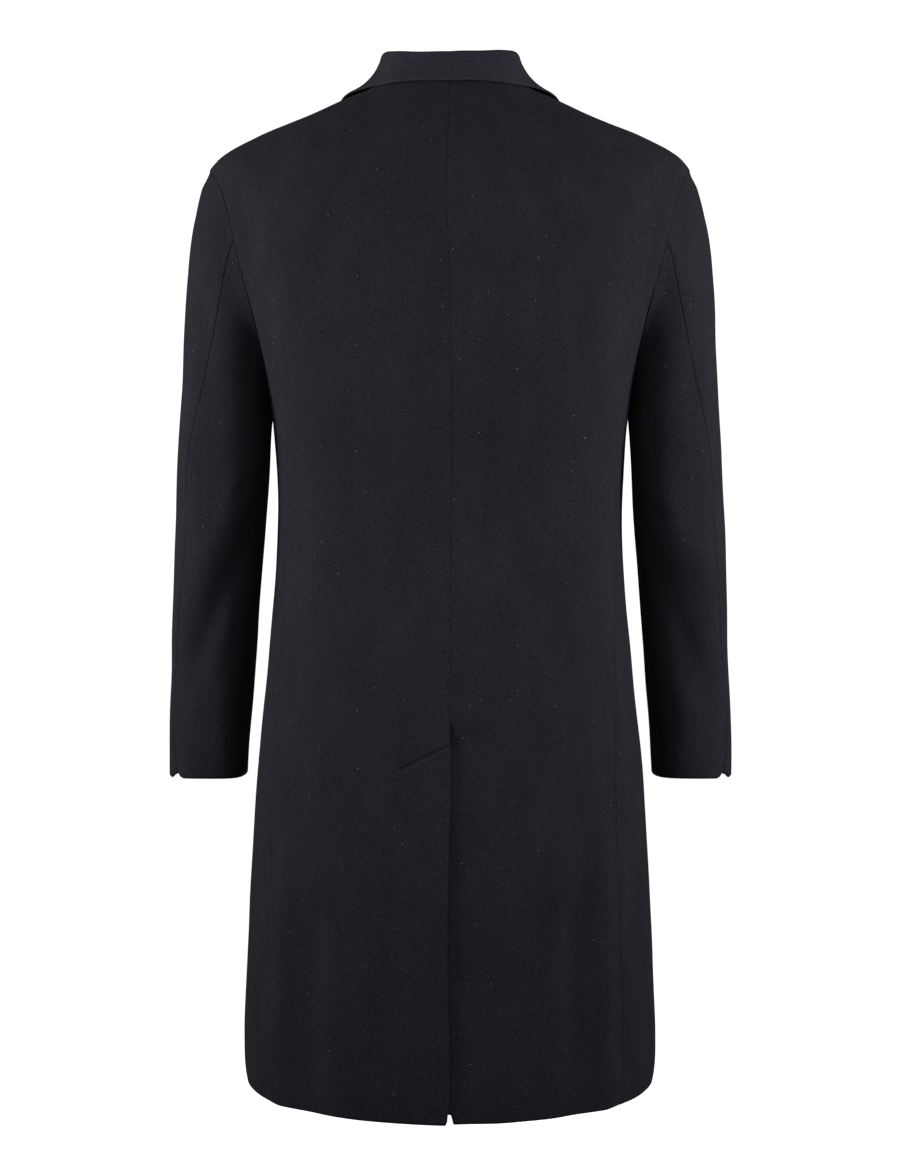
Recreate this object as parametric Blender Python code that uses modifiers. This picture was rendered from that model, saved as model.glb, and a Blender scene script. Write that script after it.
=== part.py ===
"""A knee-length double-breasted wool coat, worn and hollow, as the pieces that are cut and sewn.

Metres, +Z up. The coat faces -Y and its wearer's left side is +X. The origin is the middle of the neck,
level with the tops of the shoulders. Angles run round the body in degrees: 0 at the centre back,
90 at the left side and 180 at the centre front.
"""
import bpy
import bmesh
import numpy as np
from mathutils import Vector

# Cloth and seams
CLOTH = 0.0020
SEAM_GAP = 0.0003
LAYER_GAP = 0.0004

# Body
HEM_HEIGHT = -0.986
HEM_SIDE_LIFT = 0.011
HEM_LIFT_SHAPE = 1.3
HEM_LIFT_FADE = 6
CHEST_HEIGHT = -0.335
CHEST_RISE = 0.6
NECK_ANGLE = 24.0
SHOULDER_TURN_ANGLE = 45.0
SHOULDER_ANGLE = 52.0
NECK_HALF_WIDTH = 0.080
NECK_BACK = 0.060
NECK_BACK_HEIGHT = 0.016
NECK_SIDE_HEIGHT = 0.011
NECK_FRONT = -0.080
NECK_FRONT_HEIGHT = -0.055
NECK_SOFT_ANGLE = 16.0
NECK_SOFT_SPAN = 9.0
NECK_SOFT_SAMPLES = 7
SHOULDER_END = (0.241, -0.006, -0.070)
EDGE_SHARPNESS = 8
ARMHOLE_STEPS = 24
SIDE_SEAM_STEP = 8
SIDE_SEAM_TOP = SHOULDER_ANGLE + (180 - 2 * SHOULDER_ANGLE) * SIDE_SEAM_STEP / ARMHOLE_STEPS

# Vent at the centre back
VENT_TOP = -0.635
VENT_SLANT = 0.025
VENT_LAP = 15.0
VENT_EASE = 0.030
VENT_EASE_ANGLE = 14.0
VENT_FULL_ANGLE = 3.0
VENT_DEPTH = CLOTH + 0.0012

# Fronts, lapels and buttons
FRONT_EDGE_ANGLE = 208.0
SHOULDER_SPREAD = 0.06
BREAK_HEIGHT = -0.400
FRONT_STEP_START = 0.150
FRONT_STEP_END = 0.105
FRONT_LIFT_TOP = -0.060
FRONT_LIFT_FULL = -0.140
FRONT_LIFT = 2 * CLOTH + 0.0034
LAPEL_FOOT = -0.388
LAPEL_INSET = 0.001
LAPEL_LIFT = 0.0012
PEAK_DIP = 0.012
PEAK_SHARPNESS = 8
GORGE_HEIGHT = -0.037
BUTTON_WIDTH = 0.028
BUTTON_THICKNESS = 0.0048
BUTTON_SIDE = 0.062
BUTTON_STEPS = 20
BUTTON_MERGE = 0.00001

# Sleeves
ELBOW_SEAM_STEP = 5
FORE_SEAM_STEP = 15
CUFF_HEIGHT = -0.676
SLEEVE_TOP_RING = -0.335
SLEEVE_SQUARENESS = 0.05
CUFF_VENT = 0.080
CUFF_VENT_OPENING = 2.0

# Collar
COLLAR_STEPS = 16
COLLAR_END_SHARE = 0.69
COLLAR_ROLL = 0.0034
COLLAR_LIFT = CLOTH + 0.0008
NECK_MIDDLE = -0.010
ROLL_POINTS = 5
FALL_POINTS = 5

# Grid of the walls and working accuracy
BODY_HEIGHTS = (HEM_HEIGHT, -0.965, -0.930, -0.865, -0.800, -0.730, -0.660, -0.635, -0.580, -0.530,
                -0.480, -0.430, -0.380, -0.335)
CAP_ROWS = 8
SLEEVE_LOW_ROWS = 9
BACK_STEPS = (4, 3, 3, SIDE_SEAM_STEP)
FRONT_STEPS = (ARMHOLE_STEPS - SIDE_SEAM_STEP, 3, 3, 9)
LAPEL_ROWS = 15
LAPEL_COLUMNS = 9
CENTRE_GAP_ANGLE = 0.05
SEAM_RISE = 0.001
CORNER_ANGLE = 0.5
SIDE_GAP_ANGLE = 0.08
SLEEVE_GAP_TURN = 0.2
SMOOTH_ANGLE = 40.0
PROBE_HEIGHT = 0.01
PROBE_ANGLE = 0.2
PROBE_RISE = 0.002
BISECTIONS = 40
NEWTON_STEPS = 30
NEWTON_TURN = 8.0
NEWTON_CLIMB = 0.05

# Finishes
WOOL_COLOUR = (0.016, 0.016, 0.020)
WOOL_ROUGHNESS = 0.9
BUTTON_COLOUR = (0.012, 0.011, 0.012)
BUTTON_ROUGHNESS = 0.35


class Table:
    """Rows under named columns, read between the rows on a smooth curve."""

    def __init__(self, names, *rows):
        values = np.array(rows, dtype=float).T
        self.columns = dict(zip(names.split(), values))
        self.keys = values[0]

    def at(self, place, name):
        """Value of one column where the first column has the value place."""
        values = self.columns[name]
        slopes = np.gradient(values, self.keys)
        place = np.clip(place, self.keys[0], self.keys[-1])
        row = np.clip(np.searchsorted(self.keys, place, side="right") - 1, 0, len(self.keys) - 2)
        step = self.keys[row + 1] - self.keys[row]
        share = (place - self.keys[row]) / step
        return hermite(values[row], slopes[row] * step, values[row + 1], slopes[row + 1] * step, share)

    def points(self, place):
        """Points from the columns x, y and z."""
        return np.stack([self.at(place, name) for name in "xyz"], axis=-1)


def hermite(start, leave, end, arrive, share):
    """Smooth curve from start to end that leaves and arrives with the given slopes."""
    square = share * share
    cube = square * share
    return ((2 * cube - 3 * square + 1) * start + (cube - 2 * square + share) * leave
            + (3 * square - 2 * cube) * end + (cube - square) * arrive)


# Rings of the body, from the hem up to the armholes
BODY = Table(
    "height half_width back front square",
    (HEM_HEIGHT, 0.1985, 0.1790, 0.1710, 0.030),
    (-0.965, 0.2028, 0.1795, 0.1715, 0.030),
    (-0.930, 0.2047, 0.1770, 0.1700, 0.030),
    (-0.850, 0.2020, 0.1700, 0.1650, 0.032),
    (-0.750, 0.1970, 0.1600, 0.1590, 0.035),
    (-0.650, 0.1900, 0.1480, 0.1520, 0.040),
    (-0.560, 0.1810, 0.1360, 0.1440, 0.048),
    (-0.480, 0.1738, 0.1240, 0.1370, 0.056),
    (-0.420, 0.1718, 0.1190, 0.1340, 0.064),
    (-0.370, 0.1730, 0.1220, 0.1360, 0.070),
    (-0.335, 0.1750, 0.1270, 0.1390, 0.074),
    (-0.300, 0.1780, 0.1320, 0.1420, 0.078),
)

# Shoulder seam, from the neck to the top of the sleeve
SHOULDER = Table(
    "share x y z",
    (0.00, NECK_HALF_WIDTH, 0.000, NECK_SIDE_HEIGHT),
    (0.25, 0.119, 0.002, -0.006),
    (0.50, 0.159, 0.002, -0.0232),
    (0.70, 0.192, 0.000, -0.0374),
    (0.85, 0.217, -0.003, -0.0512),
    (0.94, 0.233, -0.005, -0.0630),
    (1.00, *SHOULDER_END),
)

# Armhole, from the end of the shoulder down the back, under the arm and up the front
ARMHOLE = Table(
    "share x y z",
    (0.00, *SHOULDER_END),
    (0.07, 0.231, 0.019, -0.085),
    (0.15, 0.219, 0.044, -0.119),
    (0.25, 0.206, 0.060, -0.171),
    (0.34, 0.192, 0.060, -0.223),
    (0.42, 0.181, 0.042, -0.271),
    (0.50, 0.177, 0.003, -0.303),
    (0.57, 0.177, -0.033, -0.287),
    (0.65, 0.179, -0.058, -0.244),
    (0.75, 0.189, -0.068, -0.186),
    (0.85, 0.211, -0.055, -0.128),
    (0.93, 0.228, -0.031, -0.088),
    (1.00, *SHOULDER_END),
)

# Direction in which the body cloth runs into its top edge
BODY_ARRIVAL = Table(
    "angle x y z reach",
    (0.0, 0.00, -0.55, 0.83, 0.9),
    (12.0, -0.12, -0.72, 0.66, 0.85),
    (24.0, -0.30, -0.93, 0.16, 0.8),
    (36.0, 0.00, -1.00, 0.05, 0.9),
    (46.0, 0.10, -0.97, -0.15, 0.8),
    (52.0, 0.28, -0.72, -0.62, 0.78),
    (60.0, 0.45, -0.78, -0.22, 0.52),
    (71.0, 0.42, -0.30, 0.85, 0.70),
    (82.0, 0.30, -0.02, 0.92, 0.50),
    (90.0, 0.10, 0.00, 1.00, 0.9),
    (98.0, 0.30, 0.02, 0.92, 0.50),
    (109.0, 0.42, 0.30, 0.85, 0.70),
    (120.0, 0.45, 0.78, -0.22, 0.52),
    (128.0, 0.28, 0.72, -0.62, 0.78),
    (134.0, 0.10, 0.97, -0.15, 0.8),
    (144.0, 0.00, 1.00, 0.05, 0.9),
    (156.0, -0.30, 0.93, 0.16, 0.8),
    (168.0, -0.12, 0.72, 0.66, 0.85),
    (180.0, 0.00, 0.50, 0.86, 0.9),
)

# Angle of the side-back seam on each side, by height
SIDE_SEAM = Table(
    "rise left right",
    (0.00, 52.0, 50.0),
    (0.15, 56.0, 50.0),
    (0.30, 58.0, 52.0),
    (0.45, 62.0, 59.0),
    (0.60, 67.0, 66.0),
    (0.80, 73.5, 73.0),
    (1.00, SIDE_SEAM_TOP, SIDE_SEAM_TOP),
)

# Rings of the left sleeve, from the cuff up to the top of the arm
SLEEVE = Table(
    "height inner outer middle half_depth",
    (CUFF_HEIGHT, 0.2060, 0.2842, -0.046, 0.062),
    (-0.629, 0.2030, 0.2837, -0.040, 0.064),
    (-0.569, 0.1975, 0.2807, -0.030, 0.067),
    (-0.509, 0.1925, 0.2777, -0.020, 0.071),
    (-0.449, 0.1878, 0.2747, -0.011, 0.075),
    (-0.389, 0.1832, 0.2717, -0.005, 0.079),
    (SLEEVE_TOP_RING, 0.1795, 0.2690, -0.003, 0.082),
    (-0.300, 0.1770, 0.2662, -0.003, 0.083),
)

# Direction in which the sleeve cloth runs into the armhole, by turns round the arm from its outer side
SLEEVE_ARRIVAL = Table(
    "share x y z reach",
    (0.000, -0.45, 0.00, 0.88, 0.80),
    (0.080, -0.55, 0.25, 0.76, 0.64),
    (0.160, -0.80, 0.38, 0.45, 0.50),
    (0.260, -0.85, 0.35, 0.40, 0.45),
    (0.375, -0.45, 0.15, 0.85, 0.50),
    (0.500, 0.00, 0.00, 1.00, 0.80),
    (0.625, -0.45, -0.15, 0.85, 0.50),
    (0.740, -0.85, -0.35, 0.40, 0.45),
    (0.840, -0.80, -0.38, 0.45, 0.50),
    (0.920, -0.55, -0.25, 0.76, 0.64),
    (1.000, -0.45, 0.00, 0.88, 0.80),
)

# Turn of the elbow seam round the arm, by rise from the cuff
ELBOW_SEAM = Table(
    "rise turn",
    (0.00, 51.0),
    (0.08, 42.0),
    (0.15, 40.0),
    (0.22, 47.0),
    (0.31, 53.5),
    (0.43, 55.5),
    (0.52, 55.0),
    (0.60, 60.5),
    (0.70, 71.5),
    (0.80, 81.0),
    (0.90, 83.5),
    (1.00, 75.0),
)

# Height of the collar's stand above the neck seam, and how far it leans in
COLLAR = Table(
    "share stand lean hollow",
    (0.00, 0.019, 0.004, 0.0005),
    (0.25, 0.024, 0.007, 0.0010),
    (0.50, 0.029, 0.012, 0.0015),
    (0.75, 0.026, 0.008, -0.0030),
    (1.00, 0.010, 0.002, -0.0030),
)

# Outer edge of the left lapel, from the break up to the peak
LAPEL_EDGE = Table(
    "share x z",
    (0.00, -0.068, -0.388),
    (0.30, -0.005, -0.300),
    (0.60, 0.078, -0.200),
    (0.85, 0.138, -0.114),
    (1.00, 0.162, -0.066),
)

# Lower edge of the collar's fall, first by place on the body and then by place seen from the front
COLLAR_ON_BODY = Table(
    "share angle rise",
    (0.000, 0.0, 0.986),
    (0.125, 6.0, 0.986),
    (0.250, 13.0, 0.986),
    (0.375, 22.0, 0.987),
    (0.500, 28.5, 1.000),
)
COLLAR_ON_FRONT = Table(
    "share x z",
    (0.625, 0.116, -0.014),
    (0.750, 0.121, -0.029),
    (0.875, 0.123, -0.045),
    (1.000, 0.122, -0.061),
)

# Rows of buttons, and how far each stands off the smooth form of the front
BUTTON_ROW = Table(
    "row height seat",
    (1, -0.420, 0.0009),
    (2, -0.550, 0.0003),
    (3, -0.680, 0.0002),
)

# Half section of a button, in shares of its radius and thickness, from the top middle to the underside
BUTTON_PROFILE = Table(
    "step out up",
    (0, 0.00, 0.60),
    (1, 0.62, 0.60),
    (2, 0.72, 1.00),
    (3, 0.92, 1.00),
    (4, 1.00, 0.75),
    (5, 1.00, 0.30),
    (6, 0.55, 0.00),
    (7, 0.00, 0.00),
)

# Rises of the rows of the body and of the sleeves
CAP_RISES = CHEST_RISE + (1 - CHEST_RISE) * np.arange(1, CAP_ROWS + 1) / CAP_ROWS
BODY_RISES = np.concatenate([
    CHEST_RISE * (np.array(BODY_HEIGHTS) - HEM_HEIGHT) / (CHEST_HEIGHT - HEM_HEIGHT), CAP_RISES])
SLEEVE_RISES = np.concatenate([np.linspace(0, CHEST_RISE, SLEEVE_LOW_ROWS), CAP_RISES])
CUFF_VENT_RISE = CHEST_RISE * CUFF_VENT / (SLEEVE_TOP_RING - CUFF_HEIGHT)


def unit(vectors):
    """Vectors of length one."""
    return vectors / np.linalg.norm(vectors, axis=-1, keepdims=True)


def ease(share):
    """Smooth step from 0 to 1."""
    share = np.clip(share, 0.0, 1.0)
    return share * share * (3 - 2 * share)


def oval(angle, squareness):
    """Sine and cosine of a slightly squared oval."""
    turn = np.radians(angle)
    sine = (np.sin(turn) + squareness * np.sin(3 * turn)) / (1 - squareness)
    cosine = (np.cos(turn) - squareness * np.cos(3 * turn)) / (1 - squareness)
    return sine, cosine


def body_ring(angle, height):
    """Point of the body's ring at a height."""
    sine, cosine = oval(angle, BODY.at(height, "square"))
    depth = np.where(cosine > 0, BODY.at(height, "back"), BODY.at(height, "front"))
    return np.stack([BODY.at(height, "half_width") * sine, depth * cosine, height + 0 * sine], axis=-1)


def neck_line(share, depth, height):
    """Quarter oval from the centre line of the neck to its side."""
    turn = share * np.pi / 2
    drop = (NECK_SIDE_HEIGHT - height) * np.sin(turn) ** 2
    return np.stack([NECK_HALF_WIDTH * np.sin(turn), depth * np.cos(turn), height + drop], axis=-1)


def edge_line(turn):
    """Edge of the body along neck, shoulder and armhole on the left side."""
    span = SHOULDER_ANGLE - NECK_ANGLE
    under_arm = 180 - 2 * SHOULDER_ANGLE
    pieces = (
        (turn <= NECK_ANGLE, neck_line(turn / NECK_ANGLE, NECK_BACK, NECK_BACK_HEIGHT)),
        (turn <= SHOULDER_ANGLE, SHOULDER.points((turn - NECK_ANGLE) / span)),
        (turn <= 180 - SHOULDER_ANGLE, ARMHOLE.points((turn - SHOULDER_ANGLE) / under_arm)),
        (turn <= 180 - NECK_ANGLE, SHOULDER.points((180 - NECK_ANGLE - turn) / span)),
        (turn > 180 - NECK_ANGLE, neck_line((180 - turn) / NECK_ANGLE, NECK_FRONT, NECK_FRONT_HEIGHT)),
    )
    return np.select([where[..., None] for where, _ in pieces], [points for _, points in pieces])


def soft_edge(turn):
    """Edge with its corner at the neck rounded off, which shapes the cloth below the corner."""
    nearest = np.minimum(turn, 180 - turn)
    soft = ease(1 - np.abs(nearest - NECK_ANGLE) / NECK_SOFT_ANGLE)[..., None]
    shifts = np.linspace(-NECK_SOFT_SPAN, NECK_SOFT_SPAN, NECK_SOFT_SAMPLES)
    around = [edge_line(np.clip(turn + shift, 0, 180)) for shift in shifts]
    return edge_line(turn) * (1 - soft) + np.mean(around, axis=0) * soft


def top_edge(angle):
    """Edge of the body on either side, its softened form and the slope at which the cloth meets it."""
    wrapped = (np.asarray(angle, dtype=float) + 180) % 360 - 180
    turn = np.abs(wrapped)
    side = np.where(wrapped < 0, -1.0, 1.0)[..., None] * [1, 0, 0] + [0, 1, 1]
    arrival = unit(BODY_ARRIVAL.points(turn))
    back_off = arrival * SEAM_GAP / 2
    slope = arrival * BODY_ARRIVAL.at(turn, "reach")[..., None]
    return (edge_line(turn) - back_off) * side, (soft_edge(turn) - back_off) * side, slope * side


def torso(angle, rise):
    """Outer face of the body, by angle and by rise from the hem, 0, to the top edge, 1."""
    angle, rise = np.broadcast_arrays(np.asarray(angle, dtype=float), np.asarray(rise, dtype=float))
    below = np.clip(rise / CHEST_RISE, 0, 1)
    sideways = np.abs(np.sin(np.radians(angle))) ** HEM_LIFT_SHAPE
    lift = HEM_SIDE_LIFT * sideways * (1 - below) ** HEM_LIFT_FADE
    low = body_ring(angle, HEM_HEIGHT + (CHEST_HEIGHT - HEM_HEIGHT) * below + lift)
    share = np.clip((rise - CHEST_RISE) / (1 - CHEST_RISE), 0, 1)[..., None]
    start = body_ring(angle, CHEST_HEIGHT + 0 * rise)
    edge, soft, slope = top_edge(angle)
    leave = (body_ring(angle, CHEST_HEIGHT + PROBE_HEIGHT + 0 * rise) - start) / PROBE_HEIGHT
    leave = leave * (edge[..., 2:] - CHEST_HEIGHT)
    length = np.linalg.norm(edge - start, axis=-1, keepdims=True)
    high = hermite(start, leave, soft, slope * length, share) + (edge - soft) * share ** EDGE_SHARPNESS
    return np.where(rise[..., None] < CHEST_RISE, low, high)


def sleeve_ring(turn, height):
    """Point of the left sleeve's ring at a height, by turn from its outer side towards the back."""
    sine, cosine = oval(turn, SLEEVE_SQUARENESS)
    inner = SLEEVE.at(height, "inner")
    outer = SLEEVE.at(height, "outer")
    across = (outer + inner) / 2 + (outer - inner) / 2 * cosine
    depth = SLEEVE.at(height, "middle") + SLEEVE.at(height, "half_depth") * sine
    return np.stack([across, depth, height + 0 * sine], axis=-1)


def sleeve(turn, rise):
    """Outer face of the left sleeve, by turn and by rise from the cuff, 0, to the armhole, 1."""
    turn, rise = np.broadcast_arrays(np.asarray(turn, dtype=float), np.asarray(rise, dtype=float))
    low = sleeve_ring(turn, CUFF_HEIGHT + (SLEEVE_TOP_RING - CUFF_HEIGHT) * np.clip(rise / CHEST_RISE, 0, 1))
    share = np.clip((rise - CHEST_RISE) / (1 - CHEST_RISE), 0, 1)[..., None]
    start = sleeve_ring(turn, SLEEVE_TOP_RING + 0 * rise)
    round_arm = (turn / 360) % 1
    arrival = unit(SLEEVE_ARRIVAL.points(round_arm))
    edge = ARMHOLE.points(round_arm) - arrival * SEAM_GAP
    leave = (sleeve_ring(turn, SLEEVE_TOP_RING + PROBE_HEIGHT + 0 * rise) - start) / PROBE_HEIGHT
    leave = leave * (edge[..., 2:] - SLEEVE_TOP_RING)
    length = np.linalg.norm(edge - start, axis=-1, keepdims=True)
    reach = SLEEVE_ARRIVAL.at(round_arm, "reach")[..., None]
    high = hermite(start, leave, edge, arrival * length * reach, share)
    return np.where(rise[..., None] < CHEST_RISE, low, high)


def facing(surface, across, rise):
    """Outward direction of a surface whose first parameter runs anticlockwise seen from below."""
    along = surface(across + PROBE_ANGLE, rise) - surface(across - PROBE_ANGLE, rise)
    above = surface(across, np.minimum(rise + PROBE_RISE, 1))
    up = above - surface(across, np.maximum(rise - PROBE_RISE, 0))
    return unit(np.cross(up, along))


def body_facing(angle, rise):
    """Outward direction of the body, shared by front and back along the shoulder seam."""
    out = facing(torso, angle, rise)
    partner = facing(torso, 180 - angle, rise)
    nearest = np.minimum(angle, 180 - angle)
    on_seam = (nearest > NECK_ANGLE - CORNER_ANGLE) & (nearest < SHOULDER_ANGLE + CORNER_ANGLE)
    return np.where((on_seam & (rise > 1 - SEAM_RISE))[..., None], unit(out + partner), out)


def wall(name, outer, inner, material, side=1):
    """Closed wall between two grids of points, mirrored to the right side where side is -1."""
    rows, columns = outer.shape[:2]
    count = rows * columns
    points = np.concatenate([outer.reshape(-1, 3), inner.reshape(-1, 3)]) * [side, 1, 1]
    index = np.arange(count).reshape(rows, columns)
    faces = []
    for row in range(rows - 1):
        for column in range(columns - 1):
            quad = [index[row, column], index[row, column + 1],
                    index[row + 1, column + 1], index[row + 1, column]]
            faces.append(quad)
            faces.append([corner + count for corner in reversed(quad)])
    rim = np.concatenate([index[0, :-1], index[:-1, -1], index[-1, :0:-1], index[:0:-1, 0]])
    for here, after in zip(rim, np.roll(rim, -1)):
        faces.append([after, here, here + count, after + count])
    mesh = bpy.data.meshes.new(name)
    mesh.from_pydata(points.tolist(), [], [[int(corner) for corner in face] for face in faces])
    work = bmesh.new()
    work.from_mesh(mesh)
    bmesh.ops.recalc_face_normals(work, faces=work.faces)
    work.to_mesh(mesh)
    work.free()
    mesh.shade_smooth()
    mesh.set_sharp_from_angle(angle=np.radians(SMOOTH_ANGLE))
    mesh.materials.append(material)
    return place(name, mesh)


def place(name, mesh):
    """New object of the coat's collection."""
    thing = bpy.data.objects.new(name, mesh)
    bpy.data.collections["double_breasted_coat"].objects.link(thing)
    return thing


def to_rise(height):
    """Rise of a height on the rings below the chest."""
    return CHEST_RISE * (height - HEM_HEIGHT) / (CHEST_HEIGHT - HEM_HEIGHT)


def knots(marks, steps):
    """Values from mark to mark, each stretch divided evenly into its own number of steps."""
    stretches = [np.linspace(start, end, count + 1)[:-1]
                 for start, end, count in zip(marks[:-1], marks[1:], steps)]
    return np.concatenate(stretches + [marks[-1:]])


def back_panel(name, side, material):
    """Half of the back. The right half runs under the left one below the top of the vent."""
    rise = BODY_RISES[:, None]
    seam = SIDE_SEAM.at(rise, "left" if side > 0 else "right")
    height = torso(0.0, rise)[..., 2]
    centre = CENTRE_GAP_ANGLE + 0 * rise
    if side < 0:
        centre = centre - (VENT_LAP + CENTRE_GAP_ANGLE) * np.clip((VENT_TOP - height) / VENT_SLANT, 0, 1)
    marks = np.array([CENTRE_GAP_ANGLE, NECK_ANGLE, SHOULDER_TURN_ANGLE, SHOULDER_ANGLE,
                      seam[-1, 0] - SIDE_GAP_ANGLE])
    share = knots((marks - marks[0]) / (marks[-1] - marks[0]), BACK_STEPS)
    angle = centre + (seam - SIDE_GAP_ANGLE - centre) * share
    outer = torso(angle, rise)
    out = body_facing(angle, rise + 0 * angle)
    if side < 0:
        under = ease((VENT_EASE_ANGLE - angle) / (VENT_EASE_ANGLE - VENT_FULL_ANGLE))
        under = under * ease((VENT_TOP + VENT_EASE - height) / VENT_EASE)
        outer = outer - out * (VENT_DEPTH * under)[..., None]
    return wall(name, outer, outer - out * CLOTH, material, side)


def roll_line(height):
    """Where the lapel of the left front folds back, seen from the front."""
    break_x = body_ring(FRONT_EDGE_ANGLE, np.array(BREAK_HEIGHT))[0]
    share = (NECK_SIDE_HEIGHT - height) / (NECK_SIDE_HEIGHT - BREAK_HEIGHT)
    return NECK_HALF_WIDTH + (break_x - NECK_HALF_WIDTH) * share


def front_angle(share, rise):
    """Angle of a column of the left front between the side-back seam and the front edge."""
    seam = SIDE_SEAM.at(rise, "left") + SIDE_GAP_ANGLE
    return seam + (FRONT_EDGE_ANGLE - seam) * share


def front_top(share):
    """Rise at which the columns of the front end: the armhole, the shoulder or the roll line."""
    low = np.full_like(share, to_rise(BREAK_HEIGHT))
    high = np.ones_like(share)
    for _ in range(BISECTIONS):
        middle = (low + high) / 2
        point = torso(front_angle(share, middle), middle)
        inside = point[..., 0] > roll_line(point[..., 2])
        low = np.where(inside, middle, low)
        high = np.where(inside, high, middle)
    return np.where(front_angle(share, 1.0) > 180 - NECK_ANGLE, low, 1.0)


def lifted(point, out, lift):
    """Point of a front moved out where it lies over the other front."""
    across = ease((FRONT_STEP_START - point[..., 0]) / (FRONT_STEP_START - FRONT_STEP_END))
    below = ease((FRONT_LIFT_TOP - point[..., 2]) / (FRONT_LIFT_TOP - FRONT_LIFT_FULL))
    return point + out * (lift * across * below)[..., None]


def front_panel(name, side, lift, material):
    """One front, from the side-back seam round to its overlapping edge."""
    first = front_angle(0.0, 1.0)
    marks = np.array([first, 180 - SHOULDER_ANGLE, 180 - SHOULDER_TURN_ANGLE, 180 - NECK_ANGLE,
                      FRONT_EDGE_ANGLE]) - first
    share = knots(marks / marks[-1], FRONT_STEPS)
    rise = BODY_RISES[:, None] * front_top(share)
    angle = front_angle(share, rise)
    if side < 0:
        seam_shift = SIDE_SEAM.at(rise, "right") - SIDE_SEAM.at(rise, "left")
        angle = angle + seam_shift * (1 - share)
    out = body_facing(angle, rise)
    outer = lifted(torso(angle, rise), out, lift)
    return wall(name, outer, outer - out * CLOTH, material, side)


def on_front(across, height, lift):
    """Point of the left front at a place seen from the front, and its outward direction."""
    across, height = np.broadcast_arrays(np.asarray(across, dtype=float), np.asarray(height, dtype=float))
    above = np.clip(1 - height / CHEST_HEIGHT, 0, 1)
    reach = BODY.at(CHEST_HEIGHT, "half_width") + SHOULDER_SPREAD * above
    angle = 180 - np.degrees(np.arcsin(across / reach))
    rise = np.where(height < CHEST_HEIGHT, to_rise(height),
                    1 - (1 - CHEST_RISE) * height / CHEST_HEIGHT)
    for _ in range(NEWTON_STEPS):
        here = torso(angle, rise)[..., ::2]
        by_angle = (torso(angle + PROBE_ANGLE, rise)[..., ::2] - here) / PROBE_ANGLE
        by_rise = (here - torso(angle, rise - PROBE_RISE)[..., ::2]) / PROBE_RISE
        miss = np.stack([across, height], axis=-1) - here
        area = by_angle[..., 0] * by_rise[..., 1] - by_angle[..., 1] * by_rise[..., 0]
        turn = (miss[..., 0] * by_rise[..., 1] - miss[..., 1] * by_rise[..., 0]) / area
        climb = (by_angle[..., 0] * miss[..., 1] - by_angle[..., 1] * miss[..., 0]) / area
        angle = angle + np.clip(turn, -NEWTON_TURN, NEWTON_TURN)
        rise = np.clip(rise + np.clip(climb, -NEWTON_CLIMB, NEWTON_CLIMB), 0, 1)
    out = facing(torso, angle, rise)
    return lifted(torso(angle, rise), out, lift), out


def lapel(name, side, lift, material):
    """Turned-back part of a front, lying on it from the roll line to the edge and peak."""
    share = np.linspace(0, 1, LAPEL_ROWS)[:, None]
    width = np.linspace(0, 1, LAPEL_COLUMNS)
    fold_height = LAPEL_FOOT + (GORGE_HEIGHT - LAPEL_FOOT) * share
    fold = np.stack([roll_line(fold_height) + LAPEL_INSET, fold_height], axis=-1)
    edge = np.stack([LAPEL_EDGE.at(share, "x"), LAPEL_EDGE.at(share, "z")], axis=-1)
    flat = fold + (edge - fold) * width[:, None]
    flat[..., 1] -= PEAK_DIP * share ** PEAK_SHARPNESS * np.sin(np.pi * width)
    point, out = on_front(flat[..., 0], flat[..., 1], lift)
    inner = point + out * LAPEL_LIFT
    return wall(name, inner + out * CLOTH, inner, material, side)


def sleeve_piece(name, side, from_elbow, material):
    """Top or under sleeve. The elbow seam opens towards the cuff as a short vent."""
    rise = SLEEVE_RISES[:, None]
    step = 360 / ARMHOLE_STEPS
    opening = SLEEVE_GAP_TURN + CUFF_VENT_OPENING * ease(1 - rise / CUFF_VENT_RISE)
    elbow = ELBOW_SEAM.at(rise, "turn")
    fore = FORE_SEAM_STEP * step
    if from_elbow:
        start, end = elbow + opening, fore - SLEEVE_GAP_TURN
        count = FORE_SEAM_STEP - ELBOW_SEAM_STEP
    else:
        start, end = fore + SLEEVE_GAP_TURN, 360 + elbow - opening
        count = ARMHOLE_STEPS - FORE_SEAM_STEP + ELBOW_SEAM_STEP
    turn = start + (end - start) * np.linspace(0, 1, count + 1)
    outer = sleeve(turn, rise)
    out = -facing(sleeve, turn, rise + 0 * turn)
    return wall(name, outer, outer - out * CLOTH, material, side)


def grid_facing(points):
    """Outward direction of a grid of points from its own slopes."""
    return unit(np.cross(np.gradient(points, axis=1), np.gradient(points, axis=0)))


def collar_seam(share):
    """Neck seam from the centre back, 0, past the shoulder, 0.5, down the roll line to the gorge, 1."""
    neck_share = (180 - NECK_ANGLE - front_angle(0.0, 1.0)) / (FRONT_EDGE_ANGLE - front_angle(0.0, 1.0))
    front_share = neck_share + (COLLAR_END_SHARE - neck_share) * np.clip(2 * share - 1, 0, 1)
    front_rise = front_top(front_share)
    front = torso(front_angle(front_share, front_rise), front_rise)
    back = top_edge(NECK_ANGLE * np.clip(2 * share, 0, 1))[0]
    return np.where(share[..., None] < 0.5, back, front)


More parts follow.
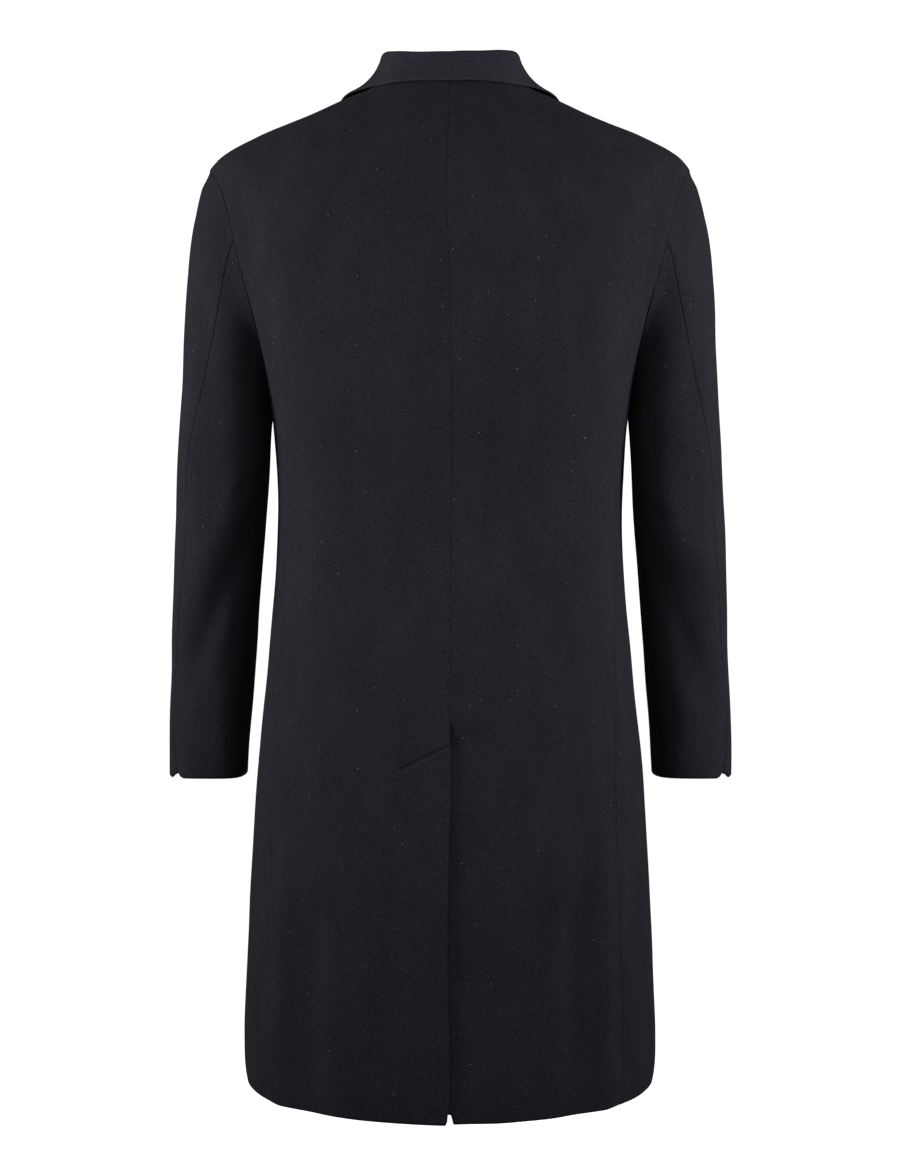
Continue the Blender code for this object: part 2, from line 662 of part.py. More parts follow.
def collar_edge(share):
    """Lower edge of the fall, lying on the back, over the shoulder and on the front."""
    angle, rise = COLLAR_ON_BODY.columns["angle"], COLLAR_ON_BODY.columns["rise"]
    on_body = torso(angle, rise) + facing(torso, angle, rise) * COLLAR_LIFT
    point, out = on_front(COLLAR_ON_FRONT.columns["x"], COLLAR_ON_FRONT.columns["z"], 0.0)
    marks = np.concatenate([COLLAR_ON_BODY.keys, COLLAR_ON_FRONT.keys])
    points = np.concatenate([on_body, point + out * COLLAR_LIFT])
    return Table("share x y z", *np.column_stack([marks, points])).points(share)


def collar(name, material):
    """Stand and fall in one, folded over along the roll: the profile is carried round the neck."""
    share = np.linspace(0, 1, COLLAR_STEPS + 1)
    seam = collar_seam(share)
    edge = collar_edge(share)
    away = unit((seam - [0, NECK_MIDDLE, 0]) * [1, 1, 0])
    up = np.array([0, 0, 1.0])
    roll = seam + up * COLLAR.at(share, "stand")[:, None] - away * COLLAR.at(share, "lean")[:, None]
    foot = seam + up * LAYER_GAP - away * CLOTH
    fold = np.radians(np.linspace(0, 180, ROLL_POINTS))
    profile = [foot, (foot + roll - away * COLLAR_ROLL) / 2]
    for turn in fold:
        profile.append(roll + COLLAR_ROLL * (up * np.sin(turn) - away * np.cos(turn)))
    over = profile[-1]
    for part in np.linspace(0, 1, FALL_POINTS)[1:]:
        hollow = 4 * part * (1 - part) * COLLAR.at(share, "hollow")[:, None]
        profile.append(over + (edge - over) * part - (away + up) * hollow)
    half = np.stack(profile)
    outer = np.concatenate([half[:, :0:-1] * [-1, 1, 1], half], axis=1)
    return wall(name, outer, outer - grid_facing(outer) * CLOTH, material)


def button(name, across, height, seat, material):
    """Turned button with a raised rim, seated on the left front."""
    radius = BUTTON_WIDTH / 2
    work = bmesh.new()
    profile = zip(BUTTON_PROFILE.columns["out"] * radius, BUTTON_PROFILE.columns["up"] * BUTTON_THICKNESS)
    ring = [work.verts.new((out, 0, up)) for out, up in profile]
    for here, after in zip(ring[:-1], ring[1:]):
        work.edges.new((here, after))
    mesh = bpy.data.meshes.new(name)
    work.to_mesh(mesh)
    work.free()
    mesh.materials.append(material)
    thing = place(name, mesh)
    turned = thing.modifiers.new("turned", "SCREW")
    turned.steps = BUTTON_STEPS
    turned.render_steps = BUTTON_STEPS
    turned.use_merge_vertices = True
    turned.merge_threshold = BUTTON_MERGE
    point, out = on_front(across, height, FRONT_LIFT)
    thing.location = Vector(point + out * seat)
    thing.rotation_euler = Vector(out).to_track_quat("Z", "Y").to_euler()
    return thing


def finish(name, colour, roughness):
    """Principled material of one colour."""
    material = bpy.data.materials.new(name)
    material.use_nodes = True
    shader = material.node_tree.nodes["Principled BSDF"]
    shader.inputs["Base Color"].default_value = (*colour, 1)
    shader.inputs["Roughness"].default_value = roughness
    shader.inputs["Metallic"].default_value = 0.0
    return material


def main():
    """Clear the scene and build every piece of the coat."""
    for thing in list(bpy.data.objects):
        bpy.data.objects.remove(thing)
    coat = bpy.data.collections.new("double_breasted_coat")
    bpy.context.scene.collection.children.link(coat)
    wool = finish("brushed_wool", WOOL_COLOUR, WOOL_ROUGHNESS)
    horn = finish("button_horn", BUTTON_COLOUR, BUTTON_ROUGHNESS)
    for side, word, lift in ((1, "left", FRONT_LIFT), (-1, "right", 0.0)):
        back_panel("back_" + word, side, wool)
        front_panel("front_" + word, side, lift, wool)
        lapel("lapel_" + word, side, lift, wool)
        sleeve_piece("top_sleeve_" + word, side, False, wool)
        sleeve_piece("under_sleeve_" + word, side, True, wool)
    collar("collar", wool)
    number = 0
    for height, seat in zip(BUTTON_ROW.columns["height"], BUTTON_ROW.columns["seat"]):
        for across in (BUTTON_SIDE, -BUTTON_SIDE):
            number += 1
            button("button_" + str(number), across, height, seat, horn)


main()
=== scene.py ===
"""Looks of a knee-length double-breasted wool coat, worn and hollow, laid out as a Blender add-on.

Metres, +Z up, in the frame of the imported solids. The coat faces -Y and its wearer's left side is +X.
The origin is the middle of the neck, level with the tops of the shoulders. Angles run round the body
in degrees: 0 at the centre back, 90 at the left side and 180 at the centre front.
"""

import bmesh
import bpy
import numpy as np
from bpy.props import FloatProperty, FloatVectorProperty, PointerProperty
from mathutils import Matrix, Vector


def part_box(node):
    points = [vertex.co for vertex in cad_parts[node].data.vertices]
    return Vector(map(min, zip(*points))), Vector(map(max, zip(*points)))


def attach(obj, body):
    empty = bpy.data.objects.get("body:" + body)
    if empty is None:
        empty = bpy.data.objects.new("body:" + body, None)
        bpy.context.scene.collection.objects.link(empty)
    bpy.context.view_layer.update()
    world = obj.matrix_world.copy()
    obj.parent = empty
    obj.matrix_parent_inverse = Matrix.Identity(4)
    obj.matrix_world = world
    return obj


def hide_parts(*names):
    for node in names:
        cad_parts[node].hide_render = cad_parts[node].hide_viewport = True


bl_info = {
    "name": "Double-breasted coat",
    "version": (1, 0, 0),
    "blender": (4, 5, 0),
    "location": "View3D > Sidebar > Coat",
    "description": "Cloth, seams, creases, buttons and studio of a worn wool coat",
    "category": "Add Mesh",
}

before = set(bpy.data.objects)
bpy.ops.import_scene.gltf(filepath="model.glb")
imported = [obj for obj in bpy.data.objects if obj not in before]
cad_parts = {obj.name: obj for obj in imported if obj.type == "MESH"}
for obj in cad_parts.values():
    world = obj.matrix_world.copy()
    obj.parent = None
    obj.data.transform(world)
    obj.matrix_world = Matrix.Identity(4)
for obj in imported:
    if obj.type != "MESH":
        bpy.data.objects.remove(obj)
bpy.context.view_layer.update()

# Cloth and seams, as in the solids
CLOTH = 0.0020
SEAM_GAP = 0.0003
LAYER_GAP = 0.0004

# Body
HEM_HEIGHT = -0.986
HEM_SIDE_LIFT = 0.011
HEM_LIFT_SHAPE = 1.3
HEM_LIFT_FADE = 6
CHEST_HEIGHT = -0.335
CHEST_RISE = 0.6
NECK_ANGLE = 24.0
SHOULDER_TURN_ANGLE = 45.0
SHOULDER_ANGLE = 52.0
NECK_HALF_WIDTH = 0.080
NECK_BACK = 0.060
NECK_BACK_HEIGHT = 0.016
NECK_SIDE_HEIGHT = 0.011
NECK_FRONT = -0.080
NECK_FRONT_HEIGHT = -0.055
NECK_SOFT_ANGLE = 16.0
NECK_SOFT_SPAN = 9.0
NECK_SOFT_SAMPLES = 7
SHOULDER_END = (0.241, -0.006, -0.070)
EDGE_SHARPNESS = 8
ARMHOLE_STEPS = 24
SIDE_SEAM_STEP = 8
SIDE_SEAM_TOP = SHOULDER_ANGLE + (180 - 2 * SHOULDER_ANGLE) * SIDE_SEAM_STEP / ARMHOLE_STEPS

# Vent at the centre back
VENT_TOP = -0.635
VENT_SLANT = 0.025
VENT_LAP = 15.0
VENT_EASE = 0.030
VENT_EASE_ANGLE = 14.0
VENT_FULL_ANGLE = 3.0
VENT_DEPTH = CLOTH + 0.0030
VENT_NOTCH_LIFT = 0.009
VENT_NOTCH_START = -0.0034
VENT_NOTCH_END = -0.0005
VENT_NOTCH_REACH = 0.040
VENT_CORNER = 0.0022

# Fronts, lapels and buttons
FRONT_EDGE_ANGLE = 208.0
SHOULDER_SPREAD = 0.06
BREAK_HEIGHT = -0.400
FRONT_STEP_START = 0.150
FRONT_STEP_END = 0.105
FRONT_LIFT_TOP = -0.060
FRONT_LIFT_FULL = -0.140
FRONT_LIFT = 2 * CLOTH + 0.0034
LAPEL_FOOT = -0.388
LAPEL_INSET = 0.001
LAPEL_LIFT = 0.0012
PEAK_DIP = 0.012
PEAK_SHARPNESS = 8
GORGE_HEIGHT = -0.037
BUTTON_SIDE = 0.062

# Sleeves
FORE_SEAM_STEP = 15
CUFF_HEIGHT = -0.676
SLEEVE_TOP_RING = -0.335
SLEEVE_SQUARENESS = 0.05
CUFF_VENT = 0.080
CUFF_VENT_OPENING = 2.0
CUFF_CORNER = 0.007
CUFF_CORNER_REACH = 5 * CUFF_CORNER
CUFF_SHORT = 0.0045
CUFF_SHORT_REACH = 0.020

# Head of the sleeve: rise over which creases fade, slope where it is eased up and share of the dip lost
SLEEVE_HEAD_RISE = 0.05
CAP_SLOPE = 0.35
CAP_FULLNESS = 1.6

# Collar
COLLAR_END_SHARE = 0.69
COLLAR_ROLL = 0.0034
COLLAR_LIFT = CLOTH + 0.0022
NECK_MIDDLE = -0.010

# Relief: share of a crease that fades at each end, and how fast one face's creases end at the sides
CREASE_FADE = 0.3
FACE_SHARPNESS = 2

# Hem: share of the creases that its turn-up leaves, how far up that reaches, and the layer turned up
HEM_STEADY = 0.35
HEM_STEADY_REACH = 0.090
TURN_UP_LAYER = 0.7

# Fairing below the end of the shoulder: rounds, middle and reach round the body, and reach in rise
FAIR_ROUNDS = 12
FAIR_MIDDLE = 56.0
FAIR_ANGLE = 14.0
FAIR_START = 0.72
FAIR_FADE = 0.06
FAIR_EDGE = 0.070

# Button: its holes in shares of its radius, of their own and of its thickness, and the dish's last step
HOLE_PLACE = 0.17
HOLE_SOFTNESS = 0.35
HOLE_DEPTH = 0.5
DISH_STEP = 4

# Sewing thread in shares of its thickness, and how full its arches are
STRAND_SPACING = 0.8
ARCH_HEIGHT = 1.6
ARCH_SINK = 1.1
ARCH_FULLNESS = 2.4

# Worked buttonhole: shift past the button, half width, squareness of its loop, height and stitches
BUTTONHOLE_SHIFT = 0.92
BUTTONHOLE_HALF_WIDTH = 0.0011
BUTTONHOLE_SQUARENESS = 3
BUTTONHOLE_RAISE = 0.0002
STITCH_RADIUS = 0.62
STITCH_SWELL = 0.14
STITCHES = 70

# Cloth, horn, thread and paper: sizes of their patterns, and how strongly the patterns show
MOTTLE_SHARE = 0.22
LINT_SPACING = 0.009
LINT_LEFT_OUT = 0.60
HORN_STREAK = 0.004
HORN_PALER = 3.2
TWIST_RIDGE = 0.0045
TWIST_PALER = 1.8
PAPER_GRAIN = 0.02

# Opening angle of the grids in front of the lights, and rings of the floor
LIGHT_SPREAD = 112.0
FLOOR_RINGS = np.array([0.0, 1.0, 3.0, 8.0, 20.0, 60.0])

# Gaps at the seams and working accuracy
CENTRE_GAP_ANGLE = 0.01
SEAM_RISE = 0.001
CORNER_ANGLE = 0.5
SIDE_GAP_ANGLE = 0.08
SLEEVE_GAP_TURN = 0.2
PROBE_HEIGHT = 0.01
PROBE_ANGLE = 1.0
PROBE_RISE = 0.002
BISECTIONS = 40
NEWTON_STEPS = 30
NEWTON_TURN = 8.0
NEWTON_CLIMB = 0.05

# Roundness of sewn edges, share of the dip along soft seams, and the rise where the side seam runs out
SEAM_ROUNDNESS = 0.6
SOFT_SEAM = 0.6
SIDE_SEAM_FADE = 0.08

# Grid of the cloth: spacing in general, close to each edge and in dense stretches
GRID_STEP = 0.0048
EDGE_PLACES = np.array([0.0, 0.0004, 0.0009, 0.0016, 0.0026, 0.0042])
MARK_CLEARANCE = 0.0008
SHOULDER_STEP = 0.0013
FRONT_SHOULDER_STEP = 0.0019
TACK_STEP = 0.0012
TACK_REACH = 0.060
TACK_DROP = 0.036
NOTCH_DENSE = (0.036, 0.050, 0.0010)

# Lengths that the grids are spaced over
PANEL_LENGTH = 1.03
BACK_WIDTH = 0.185
FRONT_WIDTH = 0.48
SLEEVE_LENGTH = 0.61
COLLAR_HALF_LENGTH = 0.21
COLLAR_FALL = 0.045
LAPEL_LENGTH = 0.37
LAPEL_WIDTH = 0.12

# Points of rims, rolls, rings and threads, and the column that shows which way a lapel runs
RIM_POINTS = 5
LAPEL_ROLL_POINTS = 12
LAPEL_PROBE_COLUMN = 3
COLLAR_ROLL_POINTS = 15
COLLAR_STAND_POINTS = 7
BUTTON_RINGS = 64
ROUND_SIDES = 96
THREAD_POINTS = 17
THREAD_SIDES = 8
STITCH_POINTS = 220

# Direction that no thread runs along, and the distance below which points are one
TUBE_SIDEWAYS = (0.31, 0.27, 0.91)
WELD_DISTANCE = 1e-7


class Table:
    """Rows under named columns, read between the rows on a smooth curve."""

    def __init__(self, names, *rows):
        values = np.array(rows, dtype=float).T
        self.columns = dict(zip(names.split(), values))
        self.keys = values[0]

    def at(self, place, name):
        """Value of one column where the first column has the value place."""
        values = self.columns[name]
        slopes = np.gradient(values, self.keys)
        place = np.clip(place, self.keys[0], self.keys[-1])
        row = np.clip(np.searchsorted(self.keys, place, side="right") - 1, 0, len(self.keys) - 2)
        step = self.keys[row + 1] - self.keys[row]
        share = (place - self.keys[row]) / step
        return hermite(values[row], slopes[row] * step, values[row + 1], slopes[row + 1] * step, share)

    def points(self, place):
        """Points from the columns x, y and z."""
        return np.stack([self.at(place, name) for name in "xyz"], axis=-1)

    def rows(self):
        """Each row as a dictionary of its columns."""
        return [dict(zip(self.columns, row)) for row in zip(*self.columns.values())]


def hermite(start, leave, end, arrive, share):
    """Smooth curve from start to end that leaves and arrives with the given slopes."""
    square = share * share
    cube = square * share
    return ((2 * cube - 3 * square + 1) * start + (cube - 2 * square + share) * leave
            + (3 * square - 2 * cube) * end + (cube - square) * arrive)


def there_and_back(end, *rows):
    """Rows of a key, x, y, z and reach up to the middle, and then back again with y turned round."""
    return [*rows, *[(end - key, x, -y, z, reach) for key, x, y, z, reach in rows[-2::-1]]]


# Rings of the body, from the hem up to the armholes
BODY = Table(
    "height half_width back front square",
    (HEM_HEIGHT, 0.1985, 0.1790, 0.1710, 0.030),
    (-0.965, 0.2028, 0.1795, 0.1715, 0.030),
    (-0.930, 0.2047, 0.1770, 0.1700, 0.030),
    (-0.850, 0.2020, 0.1700, 0.1650, 0.032),
    (-0.750, 0.1970, 0.1600, 0.1590, 0.035),
    (-0.650, 0.1900, 0.1480, 0.1520, 0.040),
    (-0.560, 0.1810, 0.1360, 0.1440, 0.048),
    (-0.480, 0.1738, 0.1240, 0.1370, 0.056),
    (-0.420, 0.1718, 0.1190, 0.1340, 0.064),
    (-0.370, 0.1730, 0.1220, 0.1360, 0.070),
    (-0.335, 0.1750, 0.1270, 0.1390, 0.074),
    (-0.300, 0.1780, 0.1320, 0.1420, 0.078),
)

# Shoulder seam, from the neck to the top of the sleeve
SHOULDER = Table(
    "share x y z",
    (0.00, NECK_HALF_WIDTH, 0.000, NECK_SIDE_HEIGHT),
    (0.25, 0.119, 0.002, -0.006),
    (0.50, 0.159, 0.002, -0.0232),
    (0.70, 0.192, 0.000, -0.0374),
    (0.85, 0.217, -0.003, -0.0512),
    (0.94, 0.233, -0.005, -0.0630),
    (1.00, *SHOULDER_END),
)

# Armhole, from the end of the shoulder down the back, under the arm and up the front
ARMHOLE = Table(
    "share x y z",
    (0.00, *SHOULDER_END),
    (0.07, 0.231, 0.019, -0.085),
    (0.15, 0.219, 0.044, -0.119),
    (0.25, 0.206, 0.060, -0.171),
    (0.34, 0.192, 0.060, -0.223),
    (0.42, 0.181, 0.042, -0.271),
    (0.50, 0.177, 0.003, -0.303),
    (0.57, 0.177, -0.033, -0.287),
    (0.65, 0.179, -0.058, -0.244),
    (0.75, 0.189, -0.068, -0.186),
    (0.85, 0.211, -0.055, -0.128),
    (0.93, 0.228, -0.031, -0.088),
    (1.00, *SHOULDER_END),
)

# Direction in which the body cloth runs into its top edge, alike behind and before but for the centre
BODY_ARRIVAL = Table(
    "angle x y z reach",
    *there_and_back(
        180,
        (0.0, 0.00, -0.55, 0.83, 0.9),
        (12.0, -0.12, -0.72, 0.66, 0.85),
        (24.0, -0.30, -0.93, 0.16, 0.8),
        (36.0, 0.00, -1.00, 0.05, 0.9),
        (46.0, 0.10, -0.97, -0.15, 0.8),
        (52.0, 0.28, -0.72, -0.62, 0.78),
        (60.0, 0.45, -0.78, -0.22, 0.52),
        (71.0, 0.42, -0.30, 0.85, 0.70),
        (82.0, 0.30, -0.02, 0.92, 0.50),
        (90.0, 0.10, 0.00, 1.00, 0.9),
    )[:-1],
    (180.0, 0.00, 0.50, 0.86, 0.9),
)

# Angle of the side-back seam on each side, by height
SIDE_SEAM = Table(
    "rise left right",
    (0.00, 52.0, 50.0),
    (0.15, 56.0, 50.0),
    (0.30, 58.0, 52.0),
    (0.45, 62.0, 59.0),
    (0.60, 67.0, 66.0),
    (0.80, 73.5, 73.0),
    (1.00, SIDE_SEAM_TOP, SIDE_SEAM_TOP),
)

# Sideways wander of the centre-back seam and of the vent's edge, by height
CENTRE_LINE = Table(
    "height seam vent",
    (-0.986, 0.0000, 0.0026),
    (-0.930, 0.0000, 0.0012),
    (-0.850, 0.0000, 0.0026),
    (-0.760, 0.0000, 0.0020),
    (-0.690, 0.0000, 0.0003),
    (-0.635, 0.0000, 0.0000),
    (-0.480, -0.0006, 0.0000),
    (-0.310, -0.0010, 0.0000),
    (-0.180, 0.0006, 0.0000),
    (-0.100, 0.0024, 0.0000),
    (-0.030, 0.0008, 0.0000),
    (0.020, 0.0000, 0.0000),
)

# Rings of the left sleeve, from the cuff up to the top of the arm
SLEEVE = Table(
    "height inner outer middle half_depth",
    (CUFF_HEIGHT, 0.2060, 0.2842, -0.046, 0.062),
    (-0.629, 0.2030, 0.2837, -0.040, 0.064),
    (-0.569, 0.1975, 0.2807, -0.030, 0.067),
    (-0.509, 0.1925, 0.2777, -0.020, 0.071),
    (-0.449, 0.1878, 0.2747, -0.011, 0.075),
    (-0.389, 0.1832, 0.2717, -0.005, 0.079),
    (SLEEVE_TOP_RING, 0.1795, 0.2690, -0.003, 0.082),
    (-0.300, 0.1770, 0.2662, -0.003, 0.083),
)

# Direction in which the sleeve cloth runs into the armhole, by turns round the arm from its outer side
SLEEVE_ARRIVAL = Table(
    "share x y z reach",
    *there_and_back(
        1,
        (0.000, -0.45, 0.00, 0.88, 0.80),
        (0.080, -0.55, 0.25, 0.76, 0.64),
        (0.160, -0.80, 0.38, 0.45, 0.50),
        (0.260, -0.85, 0.35, 0.40, 0.45),
        (0.375, -0.45, 0.15, 0.85, 0.50),
        (0.500, 0.00, 0.00, 1.00, 0.80),
    ),
)

# Turn of the elbow seam round the arm, by rise from the cuff
ELBOW_SEAM = Table(
    "rise turn",
    (0.00, 51.0),
    (0.08, 42.0),
    (0.15, 40.0),
    (0.22, 47.0),
    (0.31, 53.5),
    (0.43, 55.5),
    (0.52, 55.0),
    (0.60, 60.5),
    (0.70, 71.5),
    (0.80, 81.0),
    (0.90, 83.5),
    (1.00, 75.0),
)

# Height of the collar's stand above the neck seam, how far it leans in, and the hollow of its fall
COLLAR = Table(
    "share stand lean hollow",
    (0.000, 0.0184, 0.0040, 0.0005),
    (0.125, 0.0203, 0.0045, 0.0008),
    (0.250, 0.0255, 0.0070, 0.0012),
    (0.375, 0.0302, 0.0110, 0.0026),
    (0.500, 0.0275, 0.0130, 0.0034),
    (0.750, 0.0250, 0.0080, -0.0010),
    (1.000, 0.0100, 0.0020, -0.0030),
)

# Lower edge of the collar's fall, first by place on the body and then by place seen from the front
COLLAR_ON_BODY = Table(
    "share angle rise",
    (0.000, 0.0, 0.986),
    (0.125, 6.0, 0.986),
    (0.250, 13.0, 0.986),
    (0.375, 22.0, 0.987),
    (0.500, 28.5, 1.000),
)
COLLAR_ON_FRONT = Table(
    "share x z",
    (0.625, 0.116, -0.014),
    (0.750, 0.121, -0.029),
    (0.875, 0.123, -0.045),
    (1.000, 0.122, -0.061),
)

# Outer edge of the left lapel, from the break up to the peak
LAPEL_EDGE = Table(
    "share x z",
    (0.00, -0.068, -0.388),
    (0.30, -0.005, -0.300),
    (0.60, 0.078, -0.200),
    (0.85, 0.138, -0.114),
    (1.00, 0.162, -0.066),
)

# Creases of the back: from one place to another seen from behind, bowed to one side, troughs below zero
BACK_CREASES = Table(
    "x1 z1 x2 z2 bow width depth",
    (0.048, -0.090, 0.046, -0.440, 0.004, 0.0220, 0.0028),
    (0.212, -0.062, 0.172, -0.180, 0.002, 0.0110, -0.0026),
    (-0.212, -0.054, -0.172, -0.170, -0.002, 0.0110, -0.0026),
    (0.118, -0.230, 0.150, -0.430, 0.010, 0.0200, -0.0022),
    (-0.108, -0.240, -0.148, -0.420, -0.010, 0.0180, -0.0022),
    (0.030, -0.440, 0.096, -0.640, 0.012, 0.0260, -0.0028),
    (-0.020, -0.430, -0.058, -0.690, 0.014, 0.0320, 0.0034),
    (-0.092, -0.470, -0.060, -0.740, -0.008, 0.0240, -0.0024),
    (0.158, -0.700, 0.160, -1.100, 0.003, 0.0095, 0.0066),
    (0.134, -0.740, 0.136, -1.120, -0.004, 0.0130, -0.0050),
    (-0.141, -0.660, -0.146, -1.100, -0.003, 0.0095, 0.0068),
    (-0.119, -0.700, -0.121, -1.120, 0.004, 0.0130, -0.0050),
    (0.070, -0.730, 0.080, -1.140, 0.006, 0.0240, 0.0020),
    (-0.052, -0.760, -0.066, -1.140, -0.005, 0.0220, -0.0020),
    (0.020, -0.648, 0.052, -0.690, 0.002, 0.0100, 0.0012),
)

# Short sewn crease that holds the top of the vent
VENT_TACK = Table(
    "x1 z1 x2 z2 bow width depth",
    (-0.008, -0.6325, 0.0580, -0.6645, 0.0012, 0.0012, -0.0019),
)

# Creases of the front, seen from the front
FRONT_CREASES = Table(
    "x1 z1 x2 z2 bow width depth",
    (0.150, -0.110, 0.158, -0.300, 0.008, 0.0160, -0.0028),
    (-0.152, -0.100, -0.158, -0.290, -0.008, 0.0150, -0.0028),
    (0.066, -0.425, 0.150, -0.350, 0.006, 0.0090, -0.0016),
    (-0.070, -0.430, -0.150, -0.360, -0.006, 0.0100, -0.0016),
    (0.070, -0.548, 0.146, -0.500, 0.004, 0.0080, -0.0012),
    (-0.074, -0.552, -0.142, -0.490, -0.005, 0.0090, -0.0013),
    (0.136, -0.640, 0.148, -1.080, 0.004, 0.0150, 0.0044),
    (0.108, -0.700, 0.114, -1.100, -0.003, 0.0150, -0.0034),
    (-0.128, -0.660, -0.140, -1.090, -0.004, 0.0140, 0.0042),
    (-0.100, -0.710, -0.104, -1.100, 0.004, 0.0160, -0.0032),
    (0.030, -0.720, 0.040, -1.110, 0.006, 0.0220, -0.0022),
    (-0.036, -0.740, -0.030, -1.110, -0.005, 0.0240, 0.0020),
)

# Creases of the back of the left sleeve and of the right one, seen from behind
LEFT_SLEEVE_CREASES = Table(
    "x1 z1 x2 z2 bow width depth",
    (0.148, -0.365, 0.276, -0.630, 0.010, 0.0125, -0.0038),
    (0.160, -0.330, 0.290, -0.570, 0.010, 0.0150, 0.0030),
    (0.166, -0.366, 0.214, -0.402, 0.003, 0.0050, -0.0026),
    (0.170, -0.404, 0.206, -0.422, 0.002, 0.0044, -0.0018),
    (0.250, -0.130, 0.222, -0.350, 0.006, 0.0120, -0.0024),
    (0.262, -0.190, 0.244, -0.430, 0.006, 0.0110, 0.0020),
    (0.222, -0.560, 0.214, -0.690, 0.004, 0.0140, 0.0022),
)
RIGHT_SLEEVE_CREASES = Table(
    "x1 z1 x2 z2 bow width depth",
    (-0.164, -0.374, -0.216, -0.424, 0.003, 0.0052, -0.0028),
    (-0.164, -0.402, -0.206, -0.446, 0.002, 0.0046, -0.0024),
    (-0.152, -0.390, -0.270, -0.640, -0.008, 0.0150, -0.0030),
    (-0.170, -0.340, -0.286, -0.550, -0.008, 0.0160, 0.0024),
    (-0.250, -0.130, -0.226, -0.340, -0.006, 0.0120, -0.0022),
    (-0.226, -0.570, -0.218, -0.690, -0.004, 0.0140, 0.0020),
)

# Creases at the front of the elbow, for the left arm
FORE_ARM_CREASES = Table(
    "x1 z1 x2 z2 bow width depth",
    (0.190, -0.372, 0.262, -0.402, 0.006, 0.0080, -0.0030),
    (0.192, -0.412, 0.254, -0.424, 0.004, 0.0066, -0.0026),
    (0.196, -0.446, 0.266, -0.440, -0.005, 0.0086, -0.0028),
    (0.206, -0.480, 0.258, -0.468, -0.004, 0.0070, -0.0018),
    (0.204, -0.150, 0.232, -0.320, -0.008, 0.0130, -0.0024),
)

# Gentle waves that no pressed cloth is free of: length of a wave each way and its height
WAVES = Table(
    "number x y z start height",
    (1, 0.131, 0.170, 0.420, 0.4, 0.00030),
    (2, -0.094, 0.150, 0.230, 1.9, 0.00026),
    (3, 0.210, -0.120, 0.160, 3.1, 0.00030),
    (4, 0.067, 0.090, -0.310, 4.4, 0.00016),
    (5, -0.150, 0.080, 0.093, 5.2, 0.00014),
)

# Rows of buttons
BUTTON_ROW = Table(
    "row height",
    (1, -0.420),
    (2, -0.550),
    (3, -0.680),
)

# Half section of a button, in shares of its radius and thickness, from the top middle to the underside
BUTTON_PROFILE = Table(
    "step out up",
    (0, 0.000, 0.66),
    (1, 0.160, 0.66),
    (2, 0.320, 0.66),
    (3, 0.480, 0.67),
    (4, 0.620, 0.72),
    (5, 0.720, 0.90),
    (6, 0.800, 1.00),
    (7, 0.900, 1.00),
    (8, 0.970, 0.90),
    (9, 1.000, 0.70),
    (10, 0.985, 0.44),
    (11, 0.900, 0.20),
    (12, 0.700, 0.05),
    (13, 0.350, 0.00),
    (14, 0.000, 0.00),
)

# Flat sizes that the pieces are cut to, with their seam allowances, and their flat area
CUT = {
    "back": (0.24, 1.06, 0.215),
    "front": (0.52, 1.06, 0.440),
    "lapel": (0.15, 0.40, 0.030),
    "top_sleeve": (0.25, 0.66, 0.140),
    "under_sleeve": (0.19, 0.56, 0.086),
    "collar": (0.46, 0.10, 0.040),
}

# Lights in pairs: power, names, place, target and size of the first, and signs that give the second
LIGHT_PAIRS = (
    ("key", ("behind", "before"), (0.15, 1.35, -0.28), (0, 0.1, -0.46), (3.0, 0.5), (-1, -1, 1)),
    ("side", ("left", "right"), (1.15, 0.50, -0.14), (0.22, 0.03, -0.30), (0.3, 0.8), (-1, 1, 1)),
    ("top", ("behind", "before"), (0.25, 1.0, 0.75), (0, 0.05, -0.25), (0.8, 0.25), (-1, -1, 1)),
)

# Rise of the top of the cuff's vent
CUFF_VENT_RISE = CHEST_RISE * CUFF_VENT / (SLEEVE_TOP_RING - CUFF_HEIGHT)


def linear(code):
    """Linear colour of an sRGB hex code."""
    shares = np.array([int(code[place:place + 2], 16) for place in (0, 2, 4)]) / 255
    return tuple(float(value) for value in
                 np.where(shares <= 0.04045, shares / 12.92, ((shares + 0.055) / 1.055) ** 2.4))


def number_property(name, description, default, **limits):
    """Property for a share, a brightness or a power."""
    return FloatProperty(name=name, description=description, default=default, **limits)


def length_property(name, description, default, **limits):
    """Property for a length."""
    return number_property(name, description, default, unit="LENGTH", **limits)


def colour_property(name, description, code):
    """Property for a colour that is given by its sRGB hex code."""
    return FloatVectorProperty(
        name=name, description=description, subtype="COLOR", default=linear(code), min=0, max=1)


class CoatSizes(bpy.types.PropertyGroup):
    """Sizes of the sewing and of the cloth's relief."""

    seam_depth: length_property("Seam depth", "Depth of the dip into a pressed seam", 0.0007, min=0)
    seam_width: length_property("Seam width", "Reach of the dip from a seam", 0.0018, min=0.0001)
    edge_roll: length_property("Edge roll", "How far a turned edge rounds over", 0.0007, min=0)
    hem_turn_up: length_property("Hem turn-up", "Height of the turned-up hem", 0.045, min=0)
    crease_gain: number_property("Crease gain", "Share of the full depth of the creases", 1.0, min=0)
    wave_gain: number_property("Wave gain", "Share of the full height of the gentle waves", 1.0, min=0)
    button_width: length_property("Button width", "Width of a button", 0.028)
    button_thickness: length_property("Button thickness", "Thickness of a button at its rim", 0.0048)
    button_hole: length_property("Button hole", "Radius of a sewing hole", 0.00115)
    thread: length_property("Thread", "Thickness of the sewing thread", 0.0008)
    buttonhole: length_property("Buttonhole", "Length of a worked buttonhole", 0.032)


